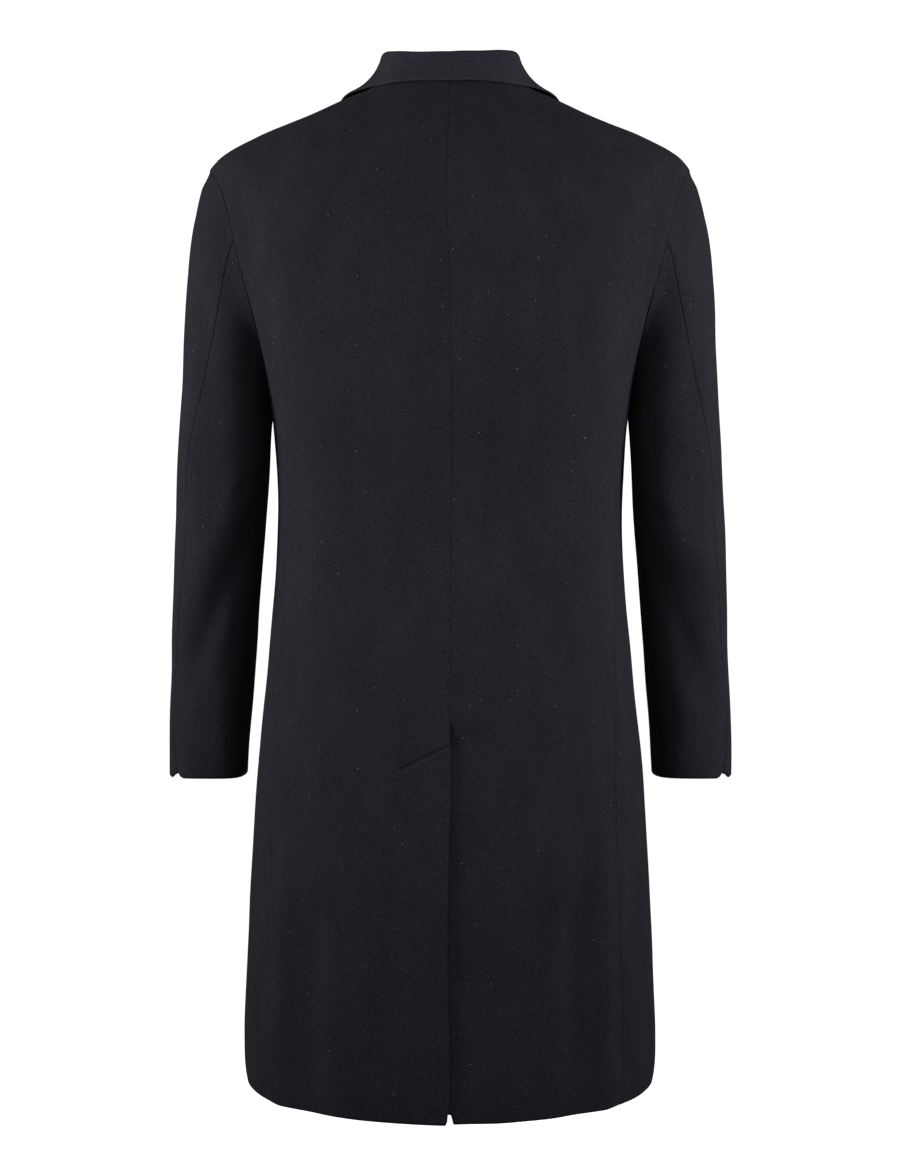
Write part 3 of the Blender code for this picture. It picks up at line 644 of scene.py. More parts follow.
class CoatFinish(bpy.types.PropertyGroup):
    """Colours and patterns of the cloth, the buttons and the thread."""

    wool_dark: colour_property("Wool, dark", "Colour between the hairs of the nap", "040405")
    wool_light: colour_property("Wool, light", "Colour of the hairs of the nap", "0c0c0f")
    lint: colour_property("Lint", "Colour of the specks of lint", "3a3c42")
    # Painted light: the collar's wool is painted lighter. It is a lighter copy of the body wool that
    # stands in for the extra light and sheen the collar catches.
    collar_lift: number_property("Collar tone", "How much lighter the collar's nap lies", 1.5, min=0)
    nap: length_property("Nap", "Width of a tuft of the nap", 0.0013)
    mottle: length_property("Mottle", "Width of a patch where the nap lies another way", 0.030)
    horn: colour_property("Horn", "Colour of the buttons", "100f12")
    thread: colour_property("Thread colour", "Colour of the sewing thread", "15161c")


class CoatStage(bpy.types.PropertyGroup):
    """Studio round the coat."""

    floor_drop: length_property("Floor", "Height of the floor below the neck", -1.45)
    camera_distance: length_property("Camera distance", "Distance of the camera behind the neck", 2.5)
    camera_height: length_property("Camera height", "Height of the camera", -0.487)
    view_height: length_property("View height", "Height of the picture at the coat's middle", 1.176)
    surround: number_property("Surround", "Brightness of the white surround", 1.1, min=0)
    key: number_property("Key light", "Power of the large soft lights before and behind", 22.0)
    side: number_property("Side light", "Power of the soft lights at the sides", 42.0)
    top: number_property("Top light", "Power of the soft lights above, which cast small shadows", 2.3)


# Form of the coat, repeated from its solids


def unit(vectors):
    """Vectors of length one."""
    return vectors / np.linalg.norm(vectors, axis=-1, keepdims=True)


def ease(share):
    """Smooth step from 0 to 1."""
    share = np.clip(share, 0.0, 1.0)
    return share * share * (3 - 2 * share)


def oval(angle, squareness):
    """Sine and cosine of a slightly squared oval."""
    turn = np.radians(angle)
    sine = (np.sin(turn) + squareness * np.sin(3 * turn)) / (1 - squareness)
    cosine = (np.cos(turn) - squareness * np.cos(3 * turn)) / (1 - squareness)
    return sine, cosine


def body_ring(angle, height):
    """Point of the body's ring at a height: a squared oval with its own depth before and behind."""
    sine, cosine = oval(angle, BODY.at(height, "square"))
    depth = np.where(cosine > 0, BODY.at(height, "back"), BODY.at(height, "front"))
    return np.stack([BODY.at(height, "half_width") * sine, depth * cosine, height + 0 * sine], axis=-1)


def neck_line(share, depth, height):
    """Quarter oval from the centre line of the neck to its side."""
    turn = share * np.pi / 2
    drop = (NECK_SIDE_HEIGHT - height) * np.sin(turn) ** 2
    return np.stack([NECK_HALF_WIDTH * np.sin(turn), depth * np.cos(turn), height + drop], axis=-1)


def edge_line(turn):
    """Edge of the body along neck, shoulder and armhole on the left side."""
    span = SHOULDER_ANGLE - NECK_ANGLE
    under_arm = 180 - 2 * SHOULDER_ANGLE
    pieces = (
        (turn <= NECK_ANGLE, neck_line(turn / NECK_ANGLE, NECK_BACK, NECK_BACK_HEIGHT)),
        (turn <= SHOULDER_ANGLE, SHOULDER.points((turn - NECK_ANGLE) / span)),
        (turn <= 180 - SHOULDER_ANGLE, ARMHOLE.points((turn - SHOULDER_ANGLE) / under_arm)),
        (turn <= 180 - NECK_ANGLE, SHOULDER.points((180 - NECK_ANGLE - turn) / span)),
        (turn > 180 - NECK_ANGLE, neck_line((180 - turn) / NECK_ANGLE, NECK_FRONT, NECK_FRONT_HEIGHT)),
    )
    return np.select([where[..., None] for where, _ in pieces], [points for _, points in pieces])


def soft_edge(turn):
    """Edge with its corner at the neck rounded off by a moving mean, to shape the cloth below it."""
    nearest = np.minimum(turn, 180 - turn)
    soft = ease(1 - np.abs(nearest - NECK_ANGLE) / NECK_SOFT_ANGLE)[..., None]
    shifts = np.linspace(-NECK_SOFT_SPAN, NECK_SOFT_SPAN, NECK_SOFT_SAMPLES)
    around = [edge_line(np.clip(turn + shift, 0, 180)) for shift in shifts]
    return edge_line(turn) * (1 - soft) + np.mean(around, axis=0) * soft


def top_edge(angle):
    """Edge of the body on either side, its softened form and the slope at which the cloth meets it."""
    wrapped = (np.asarray(angle, dtype=float) + 180) % 360 - 180
    turn = np.abs(wrapped)
    side = np.where(wrapped < 0, -1.0, 1.0)[..., None] * [1, 0, 0] + [0, 1, 1]
    arrival = unit(BODY_ARRIVAL.points(turn))
    back_off = arrival * SEAM_GAP / 2
    slope = arrival * BODY_ARRIVAL.at(turn, "reach")[..., None]
    return (edge_line(turn) - back_off) * side, (soft_edge(turn) - back_off) * side, slope * side


def torso(angle, rise):
    """Outer face of the body: rings up to the chest, then a Hermite curve to the edge."""
    angle, rise = np.broadcast_arrays(np.asarray(angle, dtype=float), np.asarray(rise, dtype=float))
    below = np.clip(rise / CHEST_RISE, 0, 1)
    sideways = np.abs(np.sin(np.radians(angle))) ** HEM_LIFT_SHAPE
    lift = HEM_SIDE_LIFT * sideways * (1 - below) ** HEM_LIFT_FADE
    low = body_ring(angle, HEM_HEIGHT + (CHEST_HEIGHT - HEM_HEIGHT) * below + lift)
    share = np.clip((rise - CHEST_RISE) / (1 - CHEST_RISE), 0, 1)[..., None]
    start = body_ring(angle, CHEST_HEIGHT + 0 * rise)
    edge, soft, slope = top_edge(angle)
    leave = (body_ring(angle, CHEST_HEIGHT + PROBE_HEIGHT + 0 * rise) - start) / PROBE_HEIGHT
    leave = leave * (edge[..., 2:] - CHEST_HEIGHT)
    length = np.linalg.norm(edge - start, axis=-1, keepdims=True)
    high = hermite(start, leave, soft, slope * length, share) + (edge - soft) * share ** EDGE_SHARPNESS
    return np.where(rise[..., None] < CHEST_RISE, low, high)


def sleeve_ring(turn, height):
    """Point of the left sleeve's ring at a height, by turn from its outer side towards the back."""
    sine, cosine = oval(turn, SLEEVE_SQUARENESS)
    inner = SLEEVE.at(height, "inner")
    outer = SLEEVE.at(height, "outer")
    across = (outer + inner) / 2 + (outer - inner) / 2 * cosine
    depth = SLEEVE.at(height, "middle") + SLEEVE.at(height, "half_depth") * sine
    return np.stack([across, depth, height + 0 * sine], axis=-1)


def sleeve(turn, rise):
    """Outer face of the left sleeve: rings up the arm, then a Hermite curve to the armhole."""
    turn, rise = np.broadcast_arrays(np.asarray(turn, dtype=float), np.asarray(rise, dtype=float))
    below = np.clip(rise / CHEST_RISE, 0, 1)
    low = sleeve_ring(turn, CUFF_HEIGHT + (SLEEVE_TOP_RING - CUFF_HEIGHT) * below)
    share = np.clip((rise - CHEST_RISE) / (1 - CHEST_RISE), 0, 1)[..., None]
    start = sleeve_ring(turn, SLEEVE_TOP_RING + 0 * rise)
    round_arm = (turn / 360) % 1
    arrival = unit(SLEEVE_ARRIVAL.points(round_arm))
    edge = ARMHOLE.points(round_arm) - arrival * SEAM_GAP
    leave = (sleeve_ring(turn, SLEEVE_TOP_RING + PROBE_HEIGHT + 0 * rise) - start) / PROBE_HEIGHT
    leave = leave * (edge[..., 2:] - SLEEVE_TOP_RING)
    length = np.linalg.norm(edge - start, axis=-1, keepdims=True)
    reach = SLEEVE_ARRIVAL.at(round_arm, "reach")[..., None]
    high = hermite(start, leave, edge, arrival * length * reach, share)
    return np.where(rise[..., None] < CHEST_RISE, low, high)


def facing(surface, across, rise):
    """Outward direction of a surface from its slopes along both parameters."""
    along = surface(across + PROBE_ANGLE, rise) - surface(across - PROBE_ANGLE, rise)
    above = surface(across, np.minimum(rise + PROBE_RISE, 1))
    up = above - surface(across, np.maximum(rise - PROBE_RISE, 0))
    return unit(np.cross(up, along))


def body_facing(angle, rise):
    """Outward direction of the body, shared by front and back along the shoulder seam."""
    out = facing(torso, angle, rise)
    partner = facing(torso, 180 - angle, rise)
    nearest = np.minimum(angle, 180 - angle)
    on_seam = (nearest > NECK_ANGLE - CORNER_ANGLE) & (nearest < SHOULDER_ANGLE + CORNER_ANGLE)
    return np.where((on_seam & (rise > 1 - SEAM_RISE))[..., None], unit(out + partner), out)


def to_rise(height):
    """Rise of a height on the rings below the chest."""
    return CHEST_RISE * (height - HEM_HEIGHT) / (CHEST_HEIGHT - HEM_HEIGHT)


def roll_line(height):
    """Where the lapel of the left front folds back, seen from the front: a straight line."""
    break_x = body_ring(FRONT_EDGE_ANGLE, np.array(BREAK_HEIGHT))[0]
    share = (NECK_SIDE_HEIGHT - height) / (NECK_SIDE_HEIGHT - BREAK_HEIGHT)
    return NECK_HALF_WIDTH + (break_x - NECK_HALF_WIDTH) * share


def front_angle(share, rise):
    """Angle of a column of the left front between the side-back seam and the front edge."""
    seam = SIDE_SEAM.at(rise, "left") + SIDE_GAP_ANGLE
    return seam + (FRONT_EDGE_ANGLE - seam) * share


def front_top(share):
    """Rise where the front's columns end: armhole, shoulder or, found by halving, the roll line."""
    low = np.full_like(share, to_rise(BREAK_HEIGHT))
    high = np.ones_like(share)
    for _ in range(BISECTIONS):
        middle = (low + high) / 2
        point = torso(front_angle(share, middle), middle)
        inside = point[..., 0] > roll_line(point[..., 2])
        low = np.where(inside, middle, low)
        high = np.where(inside, high, middle)
    return np.where(front_angle(share, 1.0) > 180 - NECK_ANGLE, low, 1.0)


def lifted(point, out, lift):
    """Point of a front moved out where it lies over the other front."""
    across = ease((FRONT_STEP_START - point[..., 0]) / (FRONT_STEP_START - FRONT_STEP_END))
    below = ease((FRONT_LIFT_TOP - point[..., 2]) / (FRONT_LIFT_TOP - FRONT_LIFT_FULL))
    return point + out * (lift * across * below)[..., None]


def on_front(across, height, lift):
    """Point of the left front at a place seen from the front, by Newton steps, and its direction."""
    across = np.asarray(across, dtype=float)
    across, height = np.broadcast_arrays(across, np.asarray(height, dtype=float))
    above = np.clip(1 - height / CHEST_HEIGHT, 0, 1)
    reach = BODY.at(CHEST_HEIGHT, "half_width") + SHOULDER_SPREAD * above
    angle = 180 - np.degrees(np.arcsin(across / reach))
    rise = np.where(height < CHEST_HEIGHT, to_rise(height),
                    1 - (1 - CHEST_RISE) * height / CHEST_HEIGHT)
    for _ in range(NEWTON_STEPS):
        here = torso(angle, rise)[..., ::2]
        by_angle = (torso(angle + PROBE_ANGLE, rise)[..., ::2] - here) / PROBE_ANGLE
        by_rise = (here - torso(angle, rise - PROBE_RISE)[..., ::2]) / PROBE_RISE
        miss = np.stack([across, height], axis=-1) - here
        area = by_angle[..., 0] * by_rise[..., 1] - by_angle[..., 1] * by_rise[..., 0]
        turn = (miss[..., 0] * by_rise[..., 1] - miss[..., 1] * by_rise[..., 0]) / area
        climb = (by_angle[..., 0] * miss[..., 1] - by_angle[..., 1] * miss[..., 0]) / area
        angle = angle + np.clip(turn, -NEWTON_TURN, NEWTON_TURN)
        rise = np.clip(rise + np.clip(climb, -NEWTON_CLIMB, NEWTON_CLIMB), 0, 1)
    out = facing(torso, angle, rise)
    return lifted(torso(angle, rise), out, lift), out


def collar_seam(share):
    """Neck seam from the centre back, 0, past the shoulder, 0.5, down the roll line to the gorge, 1."""
    first = front_angle(0.0, 1.0)
    neck_share = (180 - NECK_ANGLE - first) / (FRONT_EDGE_ANGLE - first)
    front_share = neck_share + (COLLAR_END_SHARE - neck_share) * np.clip(2 * share - 1, 0, 1)
    front_rise = front_top(front_share)
    front = torso(front_angle(front_share, front_rise), front_rise)
    back = top_edge(NECK_ANGLE * np.clip(2 * share, 0, 1))[0]
    return np.where(share[..., None] < 0.5, back, front)


def collar_edge(share):
    """Lower edge of the fall, lying on the back, over the shoulder and on the front."""
    angle, rise = COLLAR_ON_BODY.columns["angle"], COLLAR_ON_BODY.columns["rise"]
    on_body = torso(angle, rise) + facing(torso, angle, rise) * COLLAR_LIFT
    point, out = on_front(COLLAR_ON_FRONT.columns["x"], COLLAR_ON_FRONT.columns["z"], 0.0)
    marks = np.concatenate([COLLAR_ON_BODY.keys, COLLAR_ON_FRONT.keys])
    points = np.concatenate([on_body, point + out * COLLAR_LIFT])
    return Table("share x y z", *np.column_stack([marks, points])).points(share)


# Relief of the cloth


def creases(points, table):
    """Sum of soft troughs and ridges: a bell across each bowed line that fades in and out along it."""
    total = np.zeros(points.shape[:-1])
    for row in table.rows():
        along = np.array([row["x2"] - row["x1"], row["z2"] - row["z1"]])
        length = np.linalg.norm(along)
        along = along / length
        offset = points[..., ::2] - [row["x1"], row["z1"]]
        share = (offset @ along) / length
        sideways = offset @ [-along[1], along[0]] - 4 * row["bow"] * share * (1 - share)
        fade = ease(share / CREASE_FADE) * ease((1 - share) / CREASE_FADE)
        total = total + row["depth"] * fade * np.exp(-(sideways / row["width"]) ** 2)
    return total


def waves(points):
    """Sum of long sine waves through space, so that layers lying on each other move together."""
    total = np.zeros(points.shape[:-1])
    for row in WAVES.rows():
        phase = points @ (2 * np.pi / np.array([row["x"], row["y"], row["z"]]))
        total = total + row["height"] * np.sin(phase + row["start"])
    return total


def relief(points, out, behind=BACK_CREASES, before=FRONT_CREASES):
    """Height of creases and waves. Creases seen from behind or from the front are kept to that face."""
    sizes = bpy.context.scene.coat_sizes
    back = ease(out[..., 1] * FACE_SHARPNESS) * creases(points, behind)
    front = ease(-out[..., 1] * FACE_SHARPNESS) * creases(points, before)
    steady = HEM_STEADY + (1 - HEM_STEADY) * ease((points[..., 2] - HEM_HEIGHT) / HEM_STEADY_REACH)
    return steady * (sizes.crease_gain * (back + front) + sizes.wave_gain * waves(points))


def mirrored(table):
    """Creases of the other arm: the table with its places across changed in sign."""
    columns = dict(table.columns)
    for name in ("x1", "x2", "bow"):
        columns[name] = -columns[name]
    return Table(" ".join(columns), *np.column_stack(list(columns.values())))


# Meshes


def new_object(name, points, faces, material):
    """New object from whole arrays of points and four-cornered faces."""
    mesh = bpy.data.meshes.new(name)
    mesh.vertices.add(len(points))
    mesh.vertices.foreach_set("co", np.ascontiguousarray(points, dtype=np.float32).ravel())
    mesh.loops.add(faces.size)
    mesh.loops.foreach_set("vertex_index", np.ascontiguousarray(faces, dtype=np.int32).ravel())
    mesh.polygons.add(len(faces))
    mesh.polygons.foreach_set("loop_start", np.arange(0, faces.size, 4, dtype=np.int32))
    mesh.update(calc_edges=True)
    mesh.shade_smooth()
    mesh.materials.append(material)
    thing = bpy.data.objects.new(name, mesh)
    bpy.context.scene.collection.objects.link(thing)
    return thing


def put(name, points, faces, material, slot):
    """New object that rides on the coat. The slot that it is given is not used."""
    thing = new_object(name, points, faces, material)
    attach(thing, "root")
    return thing


def knots(length, marks=(), dense=()):
    """Shares of a length: close at both ends, even between, with marks and dense stretches."""
    even = np.arange(2 * GRID_STEP, length - GRID_STEP, GRID_STEP)
    places = [EDGE_PLACES, length - EDGE_PLACES, even]
    places += [np.arange(start, end, step) for start, end, step in dense]
    marks = np.array(marks, dtype=float) * length
    places = np.unique(np.round(np.concatenate(places), 5))
    clear = np.all(np.abs(places[:, None] - marks) > MARK_CLEARANCE, axis=1)
    return np.union1d(places[clear], marks) / length


def distances(points):
    """Distance along a grid from its first row, last row, first column and last column."""
    tall = np.linalg.norm(np.diff(points, axis=0), axis=-1)
    wide = np.linalg.norm(np.diff(points, axis=1), axis=-1)
    low = np.concatenate([np.zeros_like(tall[:1]), np.cumsum(tall, axis=0)])
    first = np.concatenate([np.zeros_like(wide[:, :1]), np.cumsum(wide, axis=1)], axis=1)
    return low, low[-1] - low, first, first[:, -1:] - first


def faired(base, out, angle, rise):
    """Grid of the body with the bend below the shoulder's end smoothed, and its outward directions.

    Each round moves the points towards the straight line between their neighbours, first along the
    columns and then along the rows. Points on the border and away from the shoulder's end stay.
    """
    aside = np.abs(np.minimum(angle, 180 - angle) - FAIR_MIDDLE)
    within = ease((rise - FAIR_START) / FAIR_FADE) * ease((1 - rise) / FAIR_EDGE)
    share = ease(1 - aside / FAIR_ANGLE) * within
    grid = base.copy()
    for _ in range(FAIR_ROUNDS):
        for axis in (0, 1):
            turned = np.swapaxes(grid, 0, axis)
            step = np.diff(turned, axis=0)
            size = np.linalg.norm(step, axis=-1, keepdims=True)
            pull = (step[1:] * size[:-1] - step[:-1] * size[1:]) / (size[1:] + size[:-1])
            turned[1:-1] += pull * np.swapaxes(share, 0, axis)[1:-1, :, None] / 2
    normal = unit(np.cross(np.gradient(grid, axis=1), np.gradient(grid, axis=0)))
    normal = normal * np.sign((normal * out).sum(axis=-1, keepdims=True))
    return grid, unit(out + (normal - out) * share[..., None])


def seam_edge():
    """Depth, width and roundness of an edge that is sewn to another piece."""
    sizes = bpy.context.scene.coat_sizes
    return sizes.seam_depth, sizes.seam_width, SEAM_ROUNDNESS


def soft_seam():
    """Edge of a seam along neck, shoulder and armhole, where the cloth is eased in and dips less."""
    depth, width, roundness = seam_edge()
    return depth * SOFT_SEAM, width, roundness


def vent_edge(opened):
    """Edge that changes from a seam to a turned edge by the share to which its vent is open."""
    depth, width, roundness = seam_edge()
    roll, _, full = free_edge()
    return depth + (roll - depth) * opened, width, roundness + (full - roundness) * opened


def side_seam(rise):
    """Edge of the side-back seam, which runs out level under the arm."""
    depth, width, roundness = seam_edge()
    return depth * ease((1 - rise) / SIDE_SEAM_FADE), width, roundness


def free_edge():
    """Depth, width and roundness of a turned edge that shows."""
    sizes = bpy.context.scene.coat_sizes
    return sizes.edge_roll, sizes.seam_width, 1.0


def shell(name, base, out, height, edges, material, side=1, extra=0.0):
    """Closed cloth wall on a grid of points.

    The outer face is the grid moved out by its relief and dipped towards each edge by a square law. The
    inner face is the grid's relief less the cloth, and extra where it is turned up. A half round of rim
    points joins both along the border.
    """
    dips = sum(depth * np.clip(1 - far / width, 0, 1) ** 2
               for far, (depth, width, _) in zip(distances(base), edges))
    outer = base + out * (height - dips)[..., None]
    inner = base + out * (height - CLOTH - extra)[..., None]
    rows, columns = base.shape[:2]
    count = rows * columns
    index = np.arange(count).reshape(rows, columns)
    loop = np.concatenate([index[0, :-1], index[:-1, -1], index[-1, :0:-1], index[:0:-1, 0]])
    row, column = np.divmod(loop, columns)
    within = np.clip(row, 1, rows - 2) * columns + np.clip(column, 1, columns - 2)
    low, high, first, last = [np.asarray(edge[2], dtype=float) for edge in edges]
    bulge = np.concatenate([
        np.broadcast_to(low, columns)[:-1], np.broadcast_to(last.ravel(), rows)[:-1],
        np.broadcast_to(high, columns)[:0:-1], np.broadcast_to(first.ravel(), rows)[:0:-1]])
    outer, inner = outer.reshape(-1, 3), inner.reshape(-1, 3)
    middle = (outer + inner) / 2
    half = (outer[loop] - inner[loop]) / 2
    away = unit(middle[loop] - middle[within]) * (np.linalg.norm(half, axis=-1) * bulge)[:, None]
    turn = np.pi * np.arange(1, RIM_POINTS + 1)[:, None, None] / (RIM_POINTS + 1)
    rim = middle[loop] + half * np.cos(turn) + away * np.sin(turn)
    points = np.concatenate([outer, inner, rim.reshape(-1, 3)]) * [side, 1, 1]
    quads = np.stack([index[:-1, :-1], index[:-1, 1:], index[1:, 1:], index[1:, :-1]], axis=-1)
    quads = quads.reshape(-1, 4)
    around = 2 * count + np.arange(RIM_POINTS * len(loop)).reshape(-1, len(loop))
    rings = np.concatenate([loop[None], around, loop[None] + count])
    after = np.roll(rings, -1, axis=1)
    border = np.stack([after[:-1], rings[:-1], rings[1:], after[1:]], axis=-1).reshape(-1, 4)
    faces = np.concatenate([quads, quads[:, ::-1] + count, border])
    grid = points[:count].reshape(rows, columns, 3)
    turned = np.cross(np.gradient(grid, axis=1), np.gradient(grid, axis=0)) * out * [side, 1, 1]
    if turned.sum() < 0:
        faces = faces[:, ::-1]
    return put(name, points, faces, material, "brushed_wool")


def cloth(node):
    """Hide the solid that a cloth piece stands for."""
    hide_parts(node)


def turn_up(base):
    """Extra thickness inside a hem, up to the height of its turn-up."""
    sizes = bpy.context.scene.coat_sizes
    return CLOTH * TURN_UP_LAYER * ease((sizes.hem_turn_up - distances(base)[0]) / GRID_STEP)


def ring_faces(rings, sides):
    """Four-cornered faces between closed rings of points."""
    index = np.arange(rings * sides).reshape(rings, sides)
    after = np.roll(index, -1, axis=1)
    return np.stack([index[:-1], index[1:], after[1:], after[:-1]], axis=-1).reshape(-1, 4)


def round_turn(sides):
    """Angles of the points of a ring."""
    return 2 * np.pi * np.arange(sides) / sides


def tube(path, radius):
    """Round tube along a path: a ring of points across each step, closed to a point at each end."""
    along = unit(np.gradient(path, axis=0))
    across = unit(np.cross(along, TUBE_SIDEWAYS))
    upright = np.cross(along, across)
    turn = round_turn(THREAD_SIDES)
    ring = across[:, None] * np.cos(turn)[:, None] + upright[:, None] * np.sin(turn)[:, None]
    radius = np.broadcast_to(radius, len(path))[:, None, None]
    grid = path[:, None] + ring * radius
    grid = np.concatenate([path[:1, None] + 0 * ring[:1], grid, path[-1:, None] + 0 * ring[:1]])
    return grid.reshape(-1, 3), ring_faces(len(grid), THREAD_SIDES)


def joined(pieces):
    """Points and faces of several pieces as one."""
    starts = np.cumsum([0] + [len(points) for points, _ in pieces[:-1]])
    return (np.concatenate([points for points, _ in pieces]),
            np.concatenate([faces + start for (_, faces), start in zip(pieces, starts)]))


def weld(thing):
    """Close the poles of a turned shape and point its faces outwards."""
    work = bmesh.new()
    work.from_mesh(thing.data)
    bmesh.ops.remove_doubles(work, verts=work.verts, dist=WELD_DISTANCE)
    bmesh.ops.recalc_face_normals(work, faces=work.faces)
    work.to_mesh(thing.data)
    work.free()
    thing.data.shade_smooth()
    return thing


# Materials


def node(tree, kind, settings, inputs):
    """New shader node with its settings. An input is linked where a socket is given, or else set."""
    made = tree.nodes.new(kind)
    for name, value in settings.items():
        setattr(made, name, value)
    for name, value in inputs.items():
        if isinstance(value, bpy.types.NodeSocket):
            tree.links.new(value, made.inputs[name])
        else:
            made.inputs[name].default_value = value
    return made


def noise(tree, place, width, **inputs):
    """Noise with bumps of a width."""
    inputs = {"Vector": place, "Scale": 1 / width, **inputs}
    return node(tree, "ShaderNodeTexNoise", {}, inputs).outputs[0]


def stretched(tree, place, scale):
    """Coordinates scaled along each axis."""
    return node(tree, "ShaderNodeMapping", {}, {"Vector": place, "Scale": scale}).outputs[0]


def mixed(tree, share, first, second):
    """Colour between two, each a socket or three numbers."""
    ends = [end if isinstance(end, bpy.types.NodeSocket) else (*end, 1) for end in (first, second)]
    made = node(tree, "ShaderNodeMix", {"data_type": "RGBA"}, {0: share, 6: ends[0], 7: ends[1]})
    return made.outputs[2]


def paler(colour, gain):
    """Colour times a gain, at most white."""
    return [min(1.0, gain * value) for value in colour]


def new_material(name):
    """Empty material with a Principled shader, its tree and object coordinates."""
    material = bpy.data.materials.new(name)
    material.use_nodes = True
    tree = material.node_tree
    shader = tree.nodes["Principled BSDF"]
    place = node(tree, "ShaderNodeTexCoord", {}, {}).outputs["Object"]
    return material, tree, shader, place


def brushed_wool(name, tone):
    """Fulled and brushed overcoat wool: short matted hairs lying downwards, which hide the weave.

    The eye gets a soft near-black navy with a fine grain, patches where the nap lies another way, a
    pale bloom at grazing angles and a few specks of lint. Both wool colours are multiplied by tone: a
    tone above one paints light into the cloth, a lighter copy for a piece that catches more light.
    pale bloom at grazing angles and a few specks of lint.
    """
    found = bpy.data.materials.get(name)
    if found:
        return found
    finish = bpy.context.scene.coat_finish
    material, tree, shader, place = new_material(name)
    tuft = noise(tree, stretched(tree, place, (0.7, 0.7, 1.2)), finish.nap, Detail=3, Roughness=0.65)
    patch = noise(tree, stretched(tree, place, (1, 1, 0.4)), finish.mottle, Detail=3, Roughness=0.55)
    grain = node(tree, "ShaderNodeMath", {"operation": "MULTIPLY_ADD"}, {
        0: patch, 1: MOTTLE_SHARE, 2: tuft}).outputs[0]
    share = node(tree, "ShaderNodeMapRange", {}, {
        "Value": grain, "From Min": 0.38, "From Max": 0.86}).outputs[0]
    # A tone above one is painted light: both colours of the wool are made lighter.
    base = mixed(tree, share, [tone * value for value in finish.wool_dark],
                 [tone * value for value in finish.wool_light])
    cells = node(tree, "ShaderNodeTexVoronoi", {}, {"Vector": place, "Scale": 1 / LINT_SPACING})
    speck = node(tree, "ShaderNodeMapRange", {}, {
        "Value": cells.outputs["Distance"], "From Min": 0.050, "From Max": 0.022}).outputs[0]
    chosen = node(tree, "ShaderNodeSeparateColor", {}, {"Color": cells.outputs["Color"]}).outputs[0]
    kept = node(tree, "ShaderNodeMath", {"operation": "GREATER_THAN"}, {
        0: chosen, 1: LINT_LEFT_OUT}).outputs[0]
    lint = node(tree, "ShaderNodeMath", {"operation": "MULTIPLY"}, {0: speck, 1: kept}).outputs[0]
    colour = mixed(tree, lint, base, finish.lint)
    tree.links.new(colour, shader.inputs["Base Color"])
    shader.inputs["Roughness"].default_value = 0.92
    shader.inputs["Specular IOR Level"].default_value = 0.0
    shader.inputs["Sheen Weight"].default_value = 0.003
    shader.inputs["Sheen Roughness"].default_value = 0.45
    shader.inputs["Sheen Tint"].default_value = (0.75, 0.80, 0.90, 1)
    bump = node(tree, "ShaderNodeBump", {}, {"Height": tuft, "Strength": 0.5, "Distance": 0.0006})
    tree.links.new(bump.outputs[0], shader.inputs["Normal"])
    return material


def dark_horn():
    """Turned and polished dark horn: cloudy brown-black streaks under a soft, uneven gloss."""
    finish = bpy.context.scene.coat_finish
    material, tree, shader, place = new_material("dark_horn")
    streak = noise(tree, stretched(tree, place, (1, 1, 0.25)), HORN_STREAK, Detail=4, Distortion=1.2)
    colour = mixed(tree, streak, finish.horn, paler(finish.horn, HORN_PALER))
    tree.links.new(colour, shader.inputs["Base Color"])
    gloss = node(tree, "ShaderNodeMapRange", {}, {
        "Value": streak, "To Min": 0.30, "To Max": 0.48}).outputs[0]
    tree.links.new(gloss, shader.inputs["Roughness"])
    shader.inputs["IOR"].default_value = 1.54
    shader.inputs["Specular IOR Level"].default_value = 0.25
    return material


def buttonhole_twist():
    """Twisted silk-like sewing thread: dark, with fine slanting ridges that catch a little light."""
    found = bpy.data.materials.get("buttonhole_twist")
    if found:
        return found
    finish = bpy.context.scene.coat_finish
    material, tree, shader, place = new_material("buttonhole_twist")
    ridge = node(tree, "ShaderNodeTexWave", {"wave_type": "BANDS", "bands_direction": "DIAGONAL"}, {
        "Vector": place, "Scale": 1 / TWIST_RIDGE, "Distortion": 1.0}).outputs[0]
    colour = mixed(tree, ridge, finish.thread, paler(finish.thread, TWIST_PALER))
    tree.links.new(colour, shader.inputs["Base Color"])
    shader.inputs["Roughness"].default_value = 0.55
    bump = node(tree, "ShaderNodeBump", {}, {"Height": ridge, "Strength": 0.4, "Distance": 0.0002})
    tree.links.new(bump.outputs[0], shader.inputs["Normal"])
    return material


def studio_paper():
    """Matt white paper sweep: an even pale tone with a very faint grain."""
    material, tree, shader, place = new_material("studio_paper")
    grain = noise(tree, place, PAPER_GRAIN, Detail=4)
    colour = mixed(tree, grain, linear("f6f6f6"), linear("fafafa"))
    tree.links.new(colour, shader.inputs["Base Color"])
    shader.inputs["Roughness"].default_value = 1.0
    shader.inputs["Specular IOR Level"].default_value = 0.0
    return material


# Pieces


def body_wool():
    """Wool of the body and sleeves."""
    return brushed_wool("fulled_wool", 1.0)


